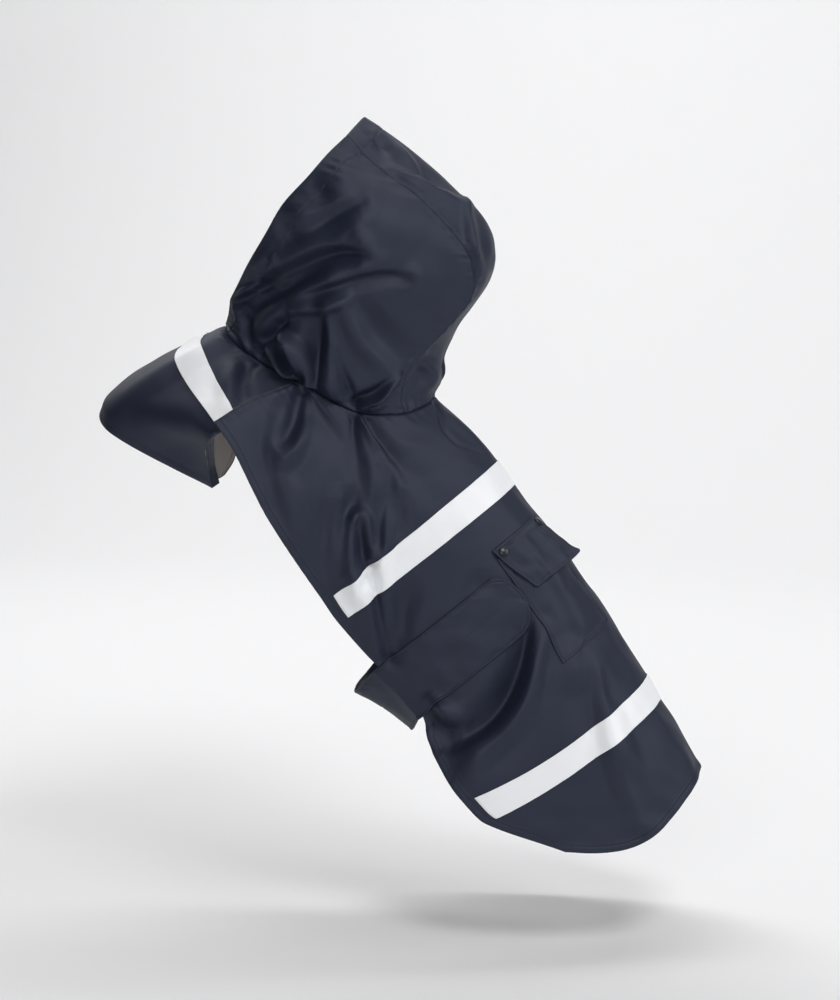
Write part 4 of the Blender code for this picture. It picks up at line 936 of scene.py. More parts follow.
def hood_side_surface(side):
    """A side panel's outer face, from the face edge to the gusset seam, with its distance from that edge."""
    levels = marks(HOOD_HEIGHT, HOOD_STEP) / HOOD_HEIGHT
    levels = levels[levels < HOOD_TIP]
    rest = marks(HOOD_AROUND, HOOD_STEP, start=False)
    turns = np.linspace(1.0, GUSSET_TURN, RING_SAMPLES)
    rows = []
    for level in levels:
        ring = ring_points(level, turns)
        places = lengths(ring)
        reach = min(EDGE_BAND, BAND_SHARE * places[-1])
        beyond = reach + rest / rest[-1] * (places[-1] - reach)
        at = np.concatenate([BAND_COLUMNS / EDGE_BAND * reach, beyond])
        rows.append(along_line(ring, places, at))
    points = np.array(rows)
    points[..., 1] *= -side
    normal = grid_normals(points, HOOD_INSIDE)
    from_edge = distance_to(points, points[:, 0])
    from_seam = distance_to(points, points[:, -1])
    from_neck = distance_to(points, points[0])
    seams = np.minimum(from_seam, from_neck)
    height = spread((levels * HOOD_HEIGHT)[:, None], points)
    x, z = points[..., 0], points[..., 2]
    let_through = CASING_HOLD + (1 - CASING_HOLD) * ease(from_edge / 10)
    lift = ease(seams / FOLD_FADE) * let_through * fold_lift(HOOD_FOLDS, np.full(x.shape, side), x, z)
    lift += ease(seams / HOOD_SLACK_FADE) * slack(x, z, seed=21 + side, height=0.5)
    lift += pucker(from_neck, x, seed=23 + side, height=0.6)
    lift += pucker(from_seam, height, seed=25 + side, reach=10.0, height=0.5)
    gathers = pucker(np.abs(from_edge - CASING), height, seed=27 + side, reach=12.0, height=0.9)
    ends = ease((np.abs(levels - 0.5) - 0.25) / 0.25)  # the casing gathers most at its two ends
    lift += gathers * (CASING_HOLD + (1 - CASING_HOLD) * ends)[:, None]
    lift += hood_borders(from_neck, from_seam, from_edge)
    neck, seam = points[0], points[:, -1]
    points = sagged(points, normal, HOOD_SAGS, side, seams)
    points, inner = dressed(points, normal, lift, HOOD_INSIDE, np.minimum(seams, from_edge))
    flat = np.stack([x, z], axis=-1)
    inward = unit(HOOD_INSIDE - seam)
    points, inner, flat, edge = sewn_in(points, inner, flat, from_edge, "right", seam, inward)
    neck = np.concatenate([neck, points[:1, -1]])
    points, inner, flat, edge = sewn_in(points, inner, flat, edge, "top", neck, unit(NECK_INSIDE - neck))
    return Surface(points, grid_normals(points, HOOD_INSIDE), flat, edge, inner), from_edge


def gusset_surface():
    """The gusset's outer face, with its distance from the face edge."""
    levels = marks(HOOD_HEIGHT, HOOD_STEP) / HOOD_HEIGHT
    half = marks(GUSSET_HALF, HOOD_STEP, start=False)[::-1] / GUSSET_HALF
    columns = np.concatenate([-half, half[-2::-1]])
    points = np.array([ring_points(level, GUSSET_TURN * np.abs(columns)) for level in levels])
    points[..., 1] *= np.where(columns > 0, -1, 1)
    normal = grid_normals(points, HOOD_INSIDE)
    from_edge = distance_to(points, points[-1])
    from_neck = distance_to(points, points[0])
    from_seam = distance_to(points, points[:, 0], points[:, -1])
    seams = np.minimum(from_seam, from_neck)
    along = spread(columns * GUSSET_HALF, points)
    height = spread((levels * HOOD_HEIGHT)[:, None], points)
    side = spread(np.sign(columns), points)
    lift = ease(seams / FOLD_FADE) * fold_lift(GUSSET_FOLDS, side, points[..., 0], points[..., 2])
    lift += ease(seams / GUSSET_SLACK_FADE) * slack(height, along, seed=31, height=0.5)
    lift += pucker(from_neck, along, seed=32, height=0.6)
    lift += pucker(from_seam, height, seed=33, reach=10.0, height=0.6)
    lift += pucker(np.abs(from_edge - CASING), along, seed=34, reach=12.0, height=0.8)
    lift += hood_borders(from_neck, from_seam, from_edge)
    neck, left, right = points[0], points[:, 0], points[:, -1]
    points, inner = dressed(points, normal, lift, HOOD_INSIDE, np.minimum(seams, from_edge))
    flat, edge = np.stack([along, height], axis=-1), from_edge
    for border, seam in (("left", left), ("right", right)):
        points, inner, flat, edge = sewn_in(points, inner, flat, edge, border, seam, unit(HOOD_INSIDE - seam))
    neck = np.concatenate([points[:1, 0], neck, points[:1, -1]])
    points, inner, flat, edge = sewn_in(points, inner, flat, edge, "top", neck, unit(NECK_INSIDE - neck))
    return Surface(points, grid_normals(points, HOOD_INSIDE), flat, edge, inner), from_edge


# ---- meshes -----------------------------------------------------------------------------------------------


def quads(index):
    """Faces between the points of a grid, whose indexes are given."""
    return np.stack([index[:-1, :-1], index[:-1, 1:], index[1:, 1:], index[1:, :-1]], axis=-1).reshape(-1, 4)


def make_mesh(name, vertices, faces, finishes, face_finish=None, flat=None):
    """An object of vertices in mm: face_finish picks each face's material, and flat is the cut-cloth place of
    each vertex, kept as its UV."""
    mesh = bpy.data.meshes.new(name)
    mesh.from_pydata((np.asarray(vertices) * MM).tolist(), [], [[int(k) for k in face] for face in faces])
    for finish in finishes:
        mesh.materials.append(finish)
    if face_finish is not None:
        mesh.polygons.foreach_set("material_index", np.asarray(face_finish, np.int32))
    if flat is not None:
        corner = np.zeros(len(mesh.loops), np.int32)
        mesh.loops.foreach_get("vertex_index", corner)
        layer = mesh.uv_layers.new(name="cut_mm")
        layer.data.foreach_set("uv", np.asarray(flat, np.float32)[corner].ravel())
    mesh.shade_smooth()
    piece = bpy.data.objects.new(name, mesh)
    bpy.context.scene.collection.objects.link(piece)
    return piece


def border_loop(index):
    """Index values round a grid's border."""
    return np.concatenate([index[0, :-1], index[:-1, -1], index[-1, :0:-1], index[:0:-1, 0]])


def every_other(count):
    """Indexes of every second row or column, with the last one."""
    return np.unique(np.append(np.arange(0, count, 2), count - 1))


def shell(name, surface, wall, outside, inside):
    """A cloth piece: its outer face, an inner face with half as many rows and columns, and a rounded edge
    between them. The inner face shows the outer cloth where an edge is turned in."""
    points, normals, flat, turned, inner = surface
    if inner is None:
        inner = points - normals * wall
    rows, columns = points.shape[:2]
    across, down = np.gradient(points, axis=1), np.gradient(points, axis=0)
    inside_out = np.sum(np.cross(across, down) * normals) < 0
    index = np.arange(rows * columns).reshape(rows, columns)
    coarse = index[np.ix_(every_other(rows), every_other(columns))]
    loop = border_loop(index)
    nearer = np.concatenate([index[1, :-1], index[:-1, -2], index[-2, :0:-1], index[:0:-1, 1]])
    points, inner, flat = points.reshape(-1, 3), inner.reshape(-1, 3), flat.reshape(-1, 2)
    rim = (points[loop] + inner[loop]) / 2 + unit(points[loop] - points[nearer]) * wall / 2
    vertices = np.concatenate([points, rim, inner[coarse.reshape(-1)]])
    places = np.concatenate([flat, flat[loop], flat[coarse.reshape(-1)]])

    rims = len(points) + np.arange(len(loop))
    inner_at = np.full(len(points), -1)
    inner_at[coarse.reshape(-1)] = len(points) + len(loop) + np.arange(coarse.size)
    outer_faces, inner_faces = quads(index).tolist(), inner_at[quads(coarse)][:, ::-1].tolist()
    ahead = np.roll(np.arange(len(loop)), -1)
    edge_faces = np.stack([loop[ahead], loop, rims, rims[ahead]], axis=1).tolist()
    # From the rim to the inner face: a quad where their steps are the same, else a triangle and a quad.
    kept = [k for k in range(len(loop)) if inner_at[loop[k]] >= 0]
    for k, after in zip(kept, kept[1:] + [len(loop)]):
        low, low_after = inner_at[loop[k]], inner_at[loop[after % len(loop)]]
        edge = [rims[m % len(loop)] for m in range(k, after + 1)]
        if len(edge) == 2:
            edge_faces.append((edge[1], edge[0], low, low_after))
        else:
            edge_faces += [(edge[1], edge[0], low), (edge[2], edge[1], low, low_after)]

    faces = outer_faces + inner_faces + edge_faces
    if inside_out:
        faces = [face[::-1] for face in faces]
    finish = np.zeros(len(faces))
    lined = turned.reshape(-1)[quads(coarse)].mean(axis=1) > HEM
    finish[len(outer_faces) :][: len(inner_faces)] = lined
    return make_mesh(name, vertices, faces, [outside, inside], finish, places)


STITCH_PITCH = 3.2
STITCH_START = 0.13  # share of the pitch before a stitch
STITCH_SHARE = 0.8  # and of the pitch that the thread shows
THREAD_RADIUS, THREAD_SIDES = 0.27, 6
# Sections along a stitch: share of its length, share of the thread's radius, and height above the cloth.
STITCH_END, STITCH_SHOULDER = (0.35, -0.25), (0.95, 0.12)
STITCH_SECTIONS = (
    (0.0, *STITCH_END),
    (0.2, *STITCH_SHOULDER),
    (0.5, 1.0, 0.2),
    (0.8, *STITCH_SHOULDER),
    (1.0, *STITCH_END),
)


def stitch_line(name, line, ups):
    """Thread along a line on the cloth: a short rounded bar for each stitch, with its ends drawn in."""
    places = lengths(line)
    count = int(places[-1] / STITCH_PITCH)
    starts = (np.arange(count) + STITCH_START) * STITCH_PITCH
    layers = []
    for share, thick, rise in STITCH_SECTIONS:
        at = starts + share * STITCH_SHARE * STITCH_PITCH
        centre, ahead = along_line(line, places, at), along_line(line, places, at + 0.4)
        up = unit(along_line(ups, places, at))
        across = unit(np.cross(ahead - centre, up) + 1e-9)
        centre = centre + up * rise
        for k in range(THREAD_SIDES):
            angle = 2 * math.pi * k / THREAD_SIDES
            layers.append(centre + THREAD_RADIUS * thick * (across * math.cos(angle) + up * math.sin(angle)))
    vertices = np.stack(layers, axis=1).reshape(-1, 3)
    around = np.arange(THREAD_SIDES + 1) % THREAD_SIDES
    one = quads(np.arange(len(STITCH_SECTIONS))[:, None] * THREAD_SIDES + around)
    bars = (one[None] + (np.arange(count) * len(layers))[:, None, None]).reshape(-1, 4)
    return make_mesh(name, vertices, bars, [THREAD])


def line_at(surface, distance, at, rows=True):
    """Line on a surface where the distance from its first column, or else its first row, has a value: its
    points and normals. A row in which that comes late, past a rounded corner, is left out."""
    points, normals = surface.points, surface.normals
    if not rows:
        points, normals, distance = (np.swapaxes(grid, 0, 1) for grid in (points, normals, distance))
    line, ups = [], []
    for row, up, away in zip(points, normals, distance):
        k = int(np.argmax(away >= at))
        if k == 0 or np.linalg.norm(row[k] - row[0]) > 3 * at:
            continue
        t = (at - away[k - 1]) / max(away[k] - away[k - 1], 1e-6)
        line.append(row[k - 1] + t * (row[k] - row[k - 1]))
        ups.append(up[k])
    return np.array(line), np.array(ups)


# ---- finishes ---------------------------------------------------------------------------------------------


def srgb(colour):
    """Linear RGBA of an sRGB hex colour."""
    channels = [(colour >> shift & 255) / 255 for shift in (16, 8, 0)]
    return (*(c / 12.92 if c <= 0.04045 else ((c + 0.055) / 1.055) ** 2.4 for c in channels), 1.0)


def add_node(tree, kind, inputs=None, **settings):
    """Adds a node. inputs maps its sockets to values, or to the sockets that feed them."""
    made = tree.nodes.new(kind)
    for name, value in settings.items():
        setattr(made, name, value)
    for socket, value in (inputs or {}).items():
        if isinstance(value, bpy.types.NodeSocket):
            tree.links.new(value, made.inputs[socket])
        else:
            made.inputs[socket].default_value = value
    return made


def new_finish(name, colour, **sockets):
    """A material whose Principled shader has this base colour and these values on its other sockets."""
    finish = bpy.data.materials.new(name)
    finish.use_nodes = True
    inputs = finish.node_tree.nodes["Principled BSDF"].inputs
    inputs["Base Color"].default_value = srgb(colour)
    for socket, value in sockets.items():
        inputs[socket.replace("_", " ")].default_value = value
    return finish


# Real threads are about 0.2 mm apart. They are drawn as coarse as it takes for them to show in the render.
WEAVE_PITCH = 0.6
WAVE_PERIOD = 0.314  # the wave texture repeats after this much at scale 1
CREASE_SIZE = 14.0  # fine soft creases of the cloth
THREAD_HEIGHT, CREASE_HEIGHT = 0.0001, 0.0009  # of their bumps, in metres, before relief


def fabric(name, colour, relief, **sockets):
    """A material of woven cloth: threads both ways, over fine soft creases, on its cut-cloth places in mm."""
    finish = new_finish(name, colour, **sockets)
    tree = finish.node_tree
    place = add_node(tree, "ShaderNodeUVMap", uv_map="cut_mm").outputs["UV"]
    waves = {"Vector": place, "Scale": WAVE_PERIOD / WEAVE_PITCH, "Distortion": 0.6}
    warp, weft = (add_node(tree, "ShaderNodeTexWave", waves, bands_direction=way) for way in "XY")
    both = {0: warp.outputs["Fac"], 1: weft.outputs["Fac"]}
    weave = add_node(tree, "ShaderNodeMath", both, operation="MULTIPLY")
    noise = {"Vector": place, "Scale": 1 / CREASE_SIZE, "Detail": 4.0, "Roughness": 0.55}
    creases = add_node(tree, "ShaderNodeTexNoise", noise)
    woven = {"Height": weave.outputs["Value"], "Distance": THREAD_HEIGHT, "Strength": relief}
    woven = add_node(tree, "ShaderNodeBump", woven).outputs["Normal"]
    creased = {"Height": creases.outputs["Fac"], "Distance": CREASE_HEIGHT, "Strength": relief * 0.9}
    creased = add_node(tree, "ShaderNodeBump", {**creased, "Normal": woven}).outputs["Normal"]
    tree.links.new(creased, tree.nodes["Principled BSDF"].inputs["Normal"])
    return finish


def coated_polyester():
    """Woven polyester with a polyurethane coat: near-black navy, whose satin sheen shows every crease."""
    sheen = {"Roughness": 0.58, "IOR": 1.5, "Specular_Tint": srgb(0xE8EEFF)}
    return fabric("coated_polyester_navy", 0x181E2F, 0.16, **sheen)


def coated_backing():
    """The uncoated inner side of the same cloth: warm grey and matt, so that it reads as the inside."""
    return fabric("polyester_backing_grey", 0xBDB9B7, 0.16, Roughness=0.85)


def glass_bead_tape():
    """Tape faced with fine glass beads: silver-white, and pale from every side."""
    return fabric("glass_bead_tape", 0xEDEFF2, 0.12, Roughness=0.45, IOR=1.8)


def polyester_thread():
    """Sewing thread a shade off the cloth: its rows of stitches just show as fine dashes."""
    return new_finish("polyester_thread_navy", 0x1A1D26, Roughness=0.6)


def gunmetal_enamel():
    """Enamelled metal: dark, with small sharp glints on the rims of the caps."""
    return new_finish("gunmetal_enamel", 0x2C2F36, Roughness=0.3, Metallic=0.35)


def backdrop_paper():
    """Pale matt paper: a plain ground with soft shadows."""
    return new_finish("backdrop_paper", 0xEDEDEE, Roughness=0.9)


# ---- the pieces -------------------------------------------------------------------------------------------

CLOTH_OUT = coated_polyester()
CLOTH_IN = coated_backing()
TAPE = glass_bead_tape()
THREAD = polyester_thread()
CAP = gunmetal_enamel()


def place_piece(piece, node):
    """Puts a piece in the place of a node of the solids."""
    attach(piece, "root")
    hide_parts(node)
    return piece


def cloth_piece(name, node, surface, wall=CLOTH, inside=CLOTH_IN):
    """A piece of the coat's cloth in the place of its node."""
    return place_piece(shell(name, surface, wall, CLOTH_OUT, inside), node)


def stitches(name, node, lines):
    """All of a panel's stitch lines as one piece."""
    made = [stitch_line(name, line, ups) for line, ups in lines if len(line) > 3]
    if len(made) > 1:
        with bpy.context.temp_override(active_object=made[0], object=made[0], selected_editable_objects=made):
            bpy.ops.object.join()
    made[0].name = name
    return place_piece(made[0], node)


cape, cape_columns, first_station_row, cape_stations, cape_from_hem, cape_from_front = cape_surface()
back_panel = cloth_piece("coat_back", "back_panel", cape)


def station_row(station):
    """Fractional row of the cape's grid at a station."""
    return first_station_row - 1 + np.interp(station, cape_stations, np.arange(1, 1 + len(cape_stations)))


def cape_column(c):
    """Fractional column of the cape's grid at a signed column, which is -1 and 1 at its lower edges."""
    return index_at(c, cape_columns)


lap_row = 1 + int(np.argmax(cape_from_front[:, len(cape_columns) // 2] > LAP))
bib, bib_levels, bib_columns, bib_from_hem = bib_surface((cape, cape_columns, lap_row))
chest = cloth_piece("coat_bib", "chest_bib", bib)

hood, hood_pieces = {}, []
for side, word in ((-1, "left"), (1, "right")):
    hood[word] = hood_side_surface(side)
    hood_pieces.append(cloth_piece(f"hood_{word}", f"hood_side_{word}", hood[word][0]))
gusset, gusset_from_edge = gusset_surface()
crown = cloth_piece("hood_crown", "hood_gusset", gusset)

# Tapes, bonded to the cloth.
TAPE_WIDE = 26.0
TAPE_MARKS = (0, 0.5, 1.1, 1.6, 2.1, 3.0, 4.5, 7, 10, 13, 16, 19, 21.5, 23, 23.9, 24.4, 24.9, 25.5, TAPE_WIDE)
TAPE_CLOTH = 0.5
TAPE_LIFT = 0.25  # it lies this far above the cloth's finest creases
TAPE_RIPPLE, TAPE_WAVES = 0.1, (11, 17, 26, 41)  # its edges ripple by this, in waves of these lengths
TAPE_SEED = 10
TAPE_REACH, BIB_TAPE_REACH = 0.964, 0.95  # the tapes end short of the cape's and the bib's edges


def tape(name, node, surface, rows, columns):
    """A tape laid on a panel between fractional rows, over given columns."""
    across = np.array(TAPE_MARKS) / TAPE_WIDE
    at = rows[0] + across * (rows[1] - rows[0])
    along = lengths(sample(surface, np.full(len(columns), at[len(at) // 2]), columns)[0])
    phases = np.random.default_rng(TAPE_SEED).random(len(TAPE_WAVES)) * 7
    ripple = sum(np.sin(along * 2 * math.pi / wave + phase) for wave, phase in zip(TAPE_WAVES, phases))
    edge = TAPE_RIPPLE * ripple[None] * (np.abs(across - 0.5) * 2)[:, None] ** 2
    made = laid_on(surface, at, columns, GAP + TAPE_CLOTH + TAPE_LIFT + edge)
    flat = np.stack(np.meshgrid(across * TAPE_WIDE, along, indexing="ij"), axis=-1)
    return place_piece(shell(name, made._replace(flat=flat), TAPE_CLOTH, TAPE, TAPE), node)


for word in ("upper", "lower"):
    between = station_row([STATION[f"tape_{word}_top"], STATION[f"tape_{word}_foot"]])
    over = cape_column(np.linspace(-TAPE_REACH, TAPE_REACH, 230))
    tape(f"band_{word}", f"tape_{word}", cape, between, over)
between = 1 + index_at([BIB_LEVEL["tape_top"], BIB_LEVEL["tape_foot"]], bib_levels)
over = index_at(np.linspace(-BIB_TAPE_REACH, BIB_TAPE_REACH, 130), bib_columns)
tape("band_chest", "tape_chest", bib, between, over)

# Folds that hang down the patch and the flap: how far they stand out, place across, width, how far they lean
# over, where they start below the top edge, and over which stretches they rise there and die out at the foot.
HangingFold = namedtuple("HangingFold", "height place width lean start rise fall")
PATCH_FOLDS = [HangingFold(-0.9, 34, 7, 0.12, 0, 30, 26), HangingFold(0.9, 46, 8, 0.12, 0, 26, 20)]
FLAP_FOLDS = [
    HangingFold(0.9, 22, 6, -0.1, 0, 18, None),
    HangingFold(-1.1, 48, 7, 0, 0, 16, None),
    HangingFold(1.5, 37, 4.5, 0.05, 20, 18, None),
    HangingFold(1.7, 62, 4.5, 0, 3, 10, None),
]


def hanging_folds(folds, x, y, tall):
    """How far the hanging folds raise each place of a piece that is this tall."""
    total = np.zeros(x.shape)
    for fold in folds:
        end = ease((tall - y) / fold.fall) if fold.fall else 1.0
        ridge = bump(x + fold.lean * y, fold.place, fold.width)
        total += fold.height * ridge * ease((y - fold.start) / fold.rise) * end
    return total


FLAP_ROUND, STRAP_ROUND = 0.9, 0.92  # 1 would be a whole quarter of a circle


def rounding(bend, fullness):
    """How far a rounded corner falls back at a share of its radius, in radii."""
    return 1 - np.sqrt(1 - fullness * bend**2)


def patch_bulge(along, across):
    """How far the filled patch stands off the back: 0 at its sewn edges."""
    rise = np.sin(math.pi * np.clip(across, 0, 1)) ** PATCH_FULLNESS
    return PATCH_BULGE * rise * np.sin(math.pi * (PATCH_HEAD + (1 - PATCH_HEAD) * np.clip(along, 0, 1)))


def pocket_patch():
    """The patch, wider towards its foot on the near side, filled out by the air in it, and its rows and
    columns in mm."""
    down = marks(PATCH_TALL, PATCH_STEP, start=False)
    across = marks(POCKET_WIDE, PATCH_STEP)
    y, x = np.meshgrid(down, across, indexing="ij")
    from_edge = np.minimum(np.minimum(x, POCKET_WIDE - x), PATCH_TALL - y)
    folds = slack(x, y, seed=41, height=0.5, shortest=16, longest=50) * ease(from_edge / SMALL_FADE)
    folds += hanging_folds(PATCH_FOLDS, x, y, PATCH_TALL)
    edge = pucker(from_edge, x + y, seed=42, reach=8.0, height=0.25)
    edge += PATCH_RELIEF * hem_profile(from_edge, PATCH_STITCH, PATCH_HEM)
    lift = GAP + CLOTH + PATCH_LIFT + patch_bulge(y / PATCH_TALL, x / POCKET_WIDE) + folds + edge
    flare = np.interp(y, (0, PATCH_TALL), PATCH_FLARE) * (1 - x / POCKET_WIDE)
    rows = station_row(STATION["patch_top"] + y + PATCH_DROP * (y / PATCH_TALL) ** 2)
    columns = cape_column((x - flare - POCKET_WIDE) / HALF_GIRTH - POCKET_FAR)
    made = laid_on(cape, rows, columns, lift)._replace(flat=np.stack([x, y], axis=-1))
    return made, down, across


def flap_surface():
    """The flap, its lower corners rounded, standing over the patch and curled up at its corner by the centre
    back, and its rows and columns in mm."""
    down = marks(FLAP_TALL, FLAP_STEP)
    across = marks(FLAP_WIDE, FLAP_STEP)
    y, x = np.meshgrid(down, across, indexing="ij")
    over = np.abs(x - FLAP_WIDE / 2) - (FLAP_WIDE / 2 - FLAP_CORNER)
    short = FLAP_CORNER * rounding(np.clip(over / FLAP_CORNER, 0, 1), FLAP_ROUND) / FLAP_TALL
    y = y * (1 - short)
    near = FLAP_TAPER * (y / FLAP_TALL) ** 1.5
    x = x + near * (1 - x / FLAP_WIDE)
    from_edge = np.minimum(np.minimum(x - near, FLAP_WIDE - x), FLAP_TALL * (1 - short) - y)
    share, tall = x / FLAP_WIDE, y / FLAP_TALL
    station = STATION["flap_top"] + y
    along = (station - STATION["patch_top"]) / PATCH_TALL
    free = ease(y / FLAP_HELD)
    over_patch = (CLOTH + FLAP_EASE + patch_bulge(along, share)) * free
    corner = FLAP_CORNER_LIFT * tall**2 * share**3
    folds = slack(x, y, seed=51, height=0.45, shortest=14, longest=46) * free
    folds += hanging_folds(FLAP_FOLDS, x, y, FLAP_TALL)
    edge = pucker(from_edge, x + y, seed=52, reach=8.0, height=0.2)
    edge += FLAP_RELIEF * hem_profile(from_edge, FLAP_STITCH, DOUBLED)
    lift = GAP + FLAP_CLOTH + over_patch + corner + folds + edge
    columns = cape_column((x - FLAP_WIDE) / HALF_GIRTH - POCKET_FAR + FLAP_OVER)
    made = laid_on(cape, station_row(station), columns, lift)._replace(flat=np.stack([x, y], axis=-1))
    return made, down, across


patch, patch_down, patch_across = pocket_patch()
patch_piece = cloth_piece("pocket_bag", "pocket_patch", patch)
flap, flap_down, flap_across = flap_surface()
flap_piece = cloth_piece("pocket_lid", "pocket_flap", flap, FLAP_CLOTH, CLOTH_OUT)


def strap_surface():
    """The strap, from its round end on the left flank, under the belly, to its end inside the right flank,
    and its distance from its edges."""
    over = marks(STRAP_WIDE, STRAP_STEP) / STRAP_WIDE * 2 - 1
    station = STATION["strap_top"] + (over + 1) / 2 * STRAP_WIDE
    c = STRAP_END + (marks((1 - STRAP_END) * HALF_GIRTH, STRAP_RUN_STEP, end=False)) / HALF_GIRTH
    near_end = np.clip(1 - (c - STRAP_END) / (STRAP_CURL_REACH * STRAP_CORNER), 0, 1)
    lap = np.linspace(1.0, 1.0 - STRAP_LAP, 10)
    rows = []
    for o, row in zip(over, station_row(station)):
        at = cape_column(-np.minimum(c + STRAP_CORNER * rounding(o, STRAP_ROUND) * near_end, 1.0))
        point, normal, _ = sample(cape, np.full(len(c), row), at)
        line = point + normal * (GAP + STRAP_CLOTH + STRAP_CURL * near_end**2)[:, None]
        inner, inner_normal, _ = sample(cape, np.full(len(lap), row), cape_column(lap))
        inner = inner - inner_normal * (CLOTH + GAP)
        leave, arrive = line[-1] - line[-3], inner[0] - inner[2]
        start = line[-1] + unit(leave) * STRAP_RUN_OUT
        end = inner[0] + unit(arrive) * STRAP_RUN_OUT
        low = (start + end) / 2 + INWARD * (STRAP_DROP - o * STRAP_TWIST) + ALONG * STRAP_DRIFT
        wide, rise = STRAP_BELLY[0] * abs(start[1]), STRAP_BELLY[1] * STRAP_DROP
        sides = [low + np.array([0, y, 0]) - INWARD * rise for y in (-wide, wide)]
        under = curve_through([start, sides[0], low, sides[1], end], np.linspace(0, 1, 90))
        rows.append(np.concatenate([line, under, inner]))
    points = np.array(rows)
    middle = len(over) // 2
    along = spread(lengths(points[middle]), points)
    across = spread(((over + 1) / 2 * STRAP_WIDE)[:, None], points)
    normal = grid_normals(points, TRUNK_INSIDE)
    from_edge = np.minimum(np.minimum(across, STRAP_WIDE - across), distance_to(points, points[:, 0]))
    lift = hem_profile(from_edge, STRAP_STITCH, DOUBLED)
    lift += pucker(from_edge, along + across, seed=61, reach=9.0, height=0.35)
    lift += slack(along, across, seed=62, height=0.45, shortest=20, longest=60) * ease(from_edge / SMALL_FADE)
    points = points + normal * lift[..., None]
    flat, backed = np.stack([along, across], axis=-1), np.full(points.shape[:2], NO_EDGE)
    return Surface(points, grid_normals(points, TRUNK_INSIDE), flat, backed, None), from_edge


strap, strap_from_edge = strap_surface()
strap_piece = cloth_piece("belly_band", "belly_strap", strap, STRAP_CLOTH, CLOTH_OUT)

# Section of a snap's turned cap, with a rounded rim and a shallow dome, from its foot to its middle.
SNAP_RADII = (4.3, 4.72, 4.85, 4.72, 4.35, 3.9, 3.3, 2.4, 1.3, 0.0)
SNAP_HEIGHTS = (-0.5, -0.1, 0.35, 0.8, 1.15, 1.32, 1.5, 1.72, 1.86, 1.9)
SNAP_SIDES = 40


def snap(side):
    """A snap's cap on the flap."""
    row, column = index_at([SNAP_DOWN], flap_down), index_at([SNAP_ACROSS[side] * FLAP_WIDE], flap_across)
    seat, up, _ = sample(flap, row, column)
    turn = Vector(up[0]).to_track_quat("Z", "Y")

    def spot(radius, height, angle=0.0):
        off = Vector((radius * math.cos(angle), radius * math.sin(angle), height + SNAP_LIFT))
        return seat[0] + np.array(turn @ off)

    angles = [2 * math.pi * k / SNAP_SIDES for k in range(SNAP_SIDES)]
    rings = list(zip(SNAP_RADII, SNAP_HEIGHTS))[:-1]
    vertices = [spot(radius, height, angle) for radius, height in rings for angle in angles]
    foot, middle = len(vertices), len(vertices) + 1
    vertices += [spot(0.0, SNAP_HEIGHTS[0]), spot(0.0, SNAP_HEIGHTS[-1])]
    index = np.arange(foot).reshape(len(rings), SNAP_SIDES)
    index = np.append(index, index[:, :1], axis=1)
    faces = [(foot, after, k) for k, after in zip(index[0], index[0, 1:])]
    faces += quads(index).tolist()
    faces += [(k, after, middle) for k, after in zip(index[-1], index[-1, 1:])]
    return place_piece(make_mesh(f"stud_{side}", vertices, faces, [CAP]), f"snap_{side}")


snap("left")
snap("right")

# ---- stitching --------------------------------------------------------------------------------------------


def part_of(surface, rows=slice(None), columns=slice(None)):
    """Some rows and columns of a surface's points and normals, such as those without its turned-in cloth."""
    return surface._replace(points=surface.points[rows, columns], normals=surface.normals[rows, columns])


BEHIND_SEAM = slice(1, None)  # without the first row or column, which is turned into a seam
BOTH_BEHIND = slice(1, -1)
FLIPPED = slice(None, None, -1)


def edge_lines(surface, distance, at, borders):
    """Stitch lines at a distance inside a panel's turned borders."""
    lines = []
    for border in borders:
        rows = FLIPPED if border == "bottom" else slice(None)
        columns = FLIPPED if border == "right" else slice(None)
        turned = part_of(surface, rows, columns)
        lines.append(line_at(turned, distance[rows, columns], at, rows=border in ("left", "right")))
    return lines


body = part_of(cape, BEHIND_SEAM)
lines = edge_lines(body, cape_from_hem, HEM_STITCH, ("left", "right", "bottom"))
shoulder = int(np.argmin(np.abs(cape_columns) > NECK_END))  # columns in each shoulder seam
for columns in (slice(0, shoulder), slice(None, -shoulder - 1, -1)):
    seam = part_of(body, columns=columns)
    lines.append(line_at(seam, cape_from_front[:, columns], SHOULDER_STITCH, rows=False))
stitches("coat_back_stitching", "back_panel", lines)

lines = edge_lines(part_of(bib, BEHIND_SEAM), bib_from_hem, HEM_STITCH, ("left", "right", "bottom"))
stitches("coat_bib_stitching", "chest_bib", lines)

for word, (surface, from_edge) in hood.items():
    body = part_of(surface, BEHIND_SEAM, slice(None, -1))
    stitches(f"hood_{word}_stitching", f"hood_side_{word}", edge_lines(body, from_edge, CASING, ("left",)))
lines = edge_lines(part_of(gusset, BEHIND_SEAM, BOTH_BEHIND), gusset_from_edge, CASING, ("bottom",))
stitches("hood_crown_stitching", "hood_gusset", lines)


def inset_line(surface, down, across, inset):
    """Line down a piece's first column, along its foot and up its last column, set in from its border."""
    low = index_at(down[-1] - inset, down)
    left, right = index_at([inset, across[-1] - inset], across)
    route = [(r, left) for r in np.arange(0, low, 1.0)]
    route += [(low, c) for c in np.arange(left, right, 1.0)]
    route += [(r, right) for r in np.arange(low, 0, -1.0)]
    return sample(surface, *np.array(route).T)[:2]


stitches("pocket_bag_stitching", "pocket_patch", [inset_line(patch, patch_down, patch_across, PATCH_STITCH)])
columns = np.arange(0.0, len(flap_across))
top = sample(flap, np.full(len(columns), index_at(FLAP_TOP_STITCH, flap_down)), columns)[:2]
stitches("pocket_lid_stitching", "pocket_flap", [inset_line(flap, flap_down, flap_across, FLAP_STITCH), top])

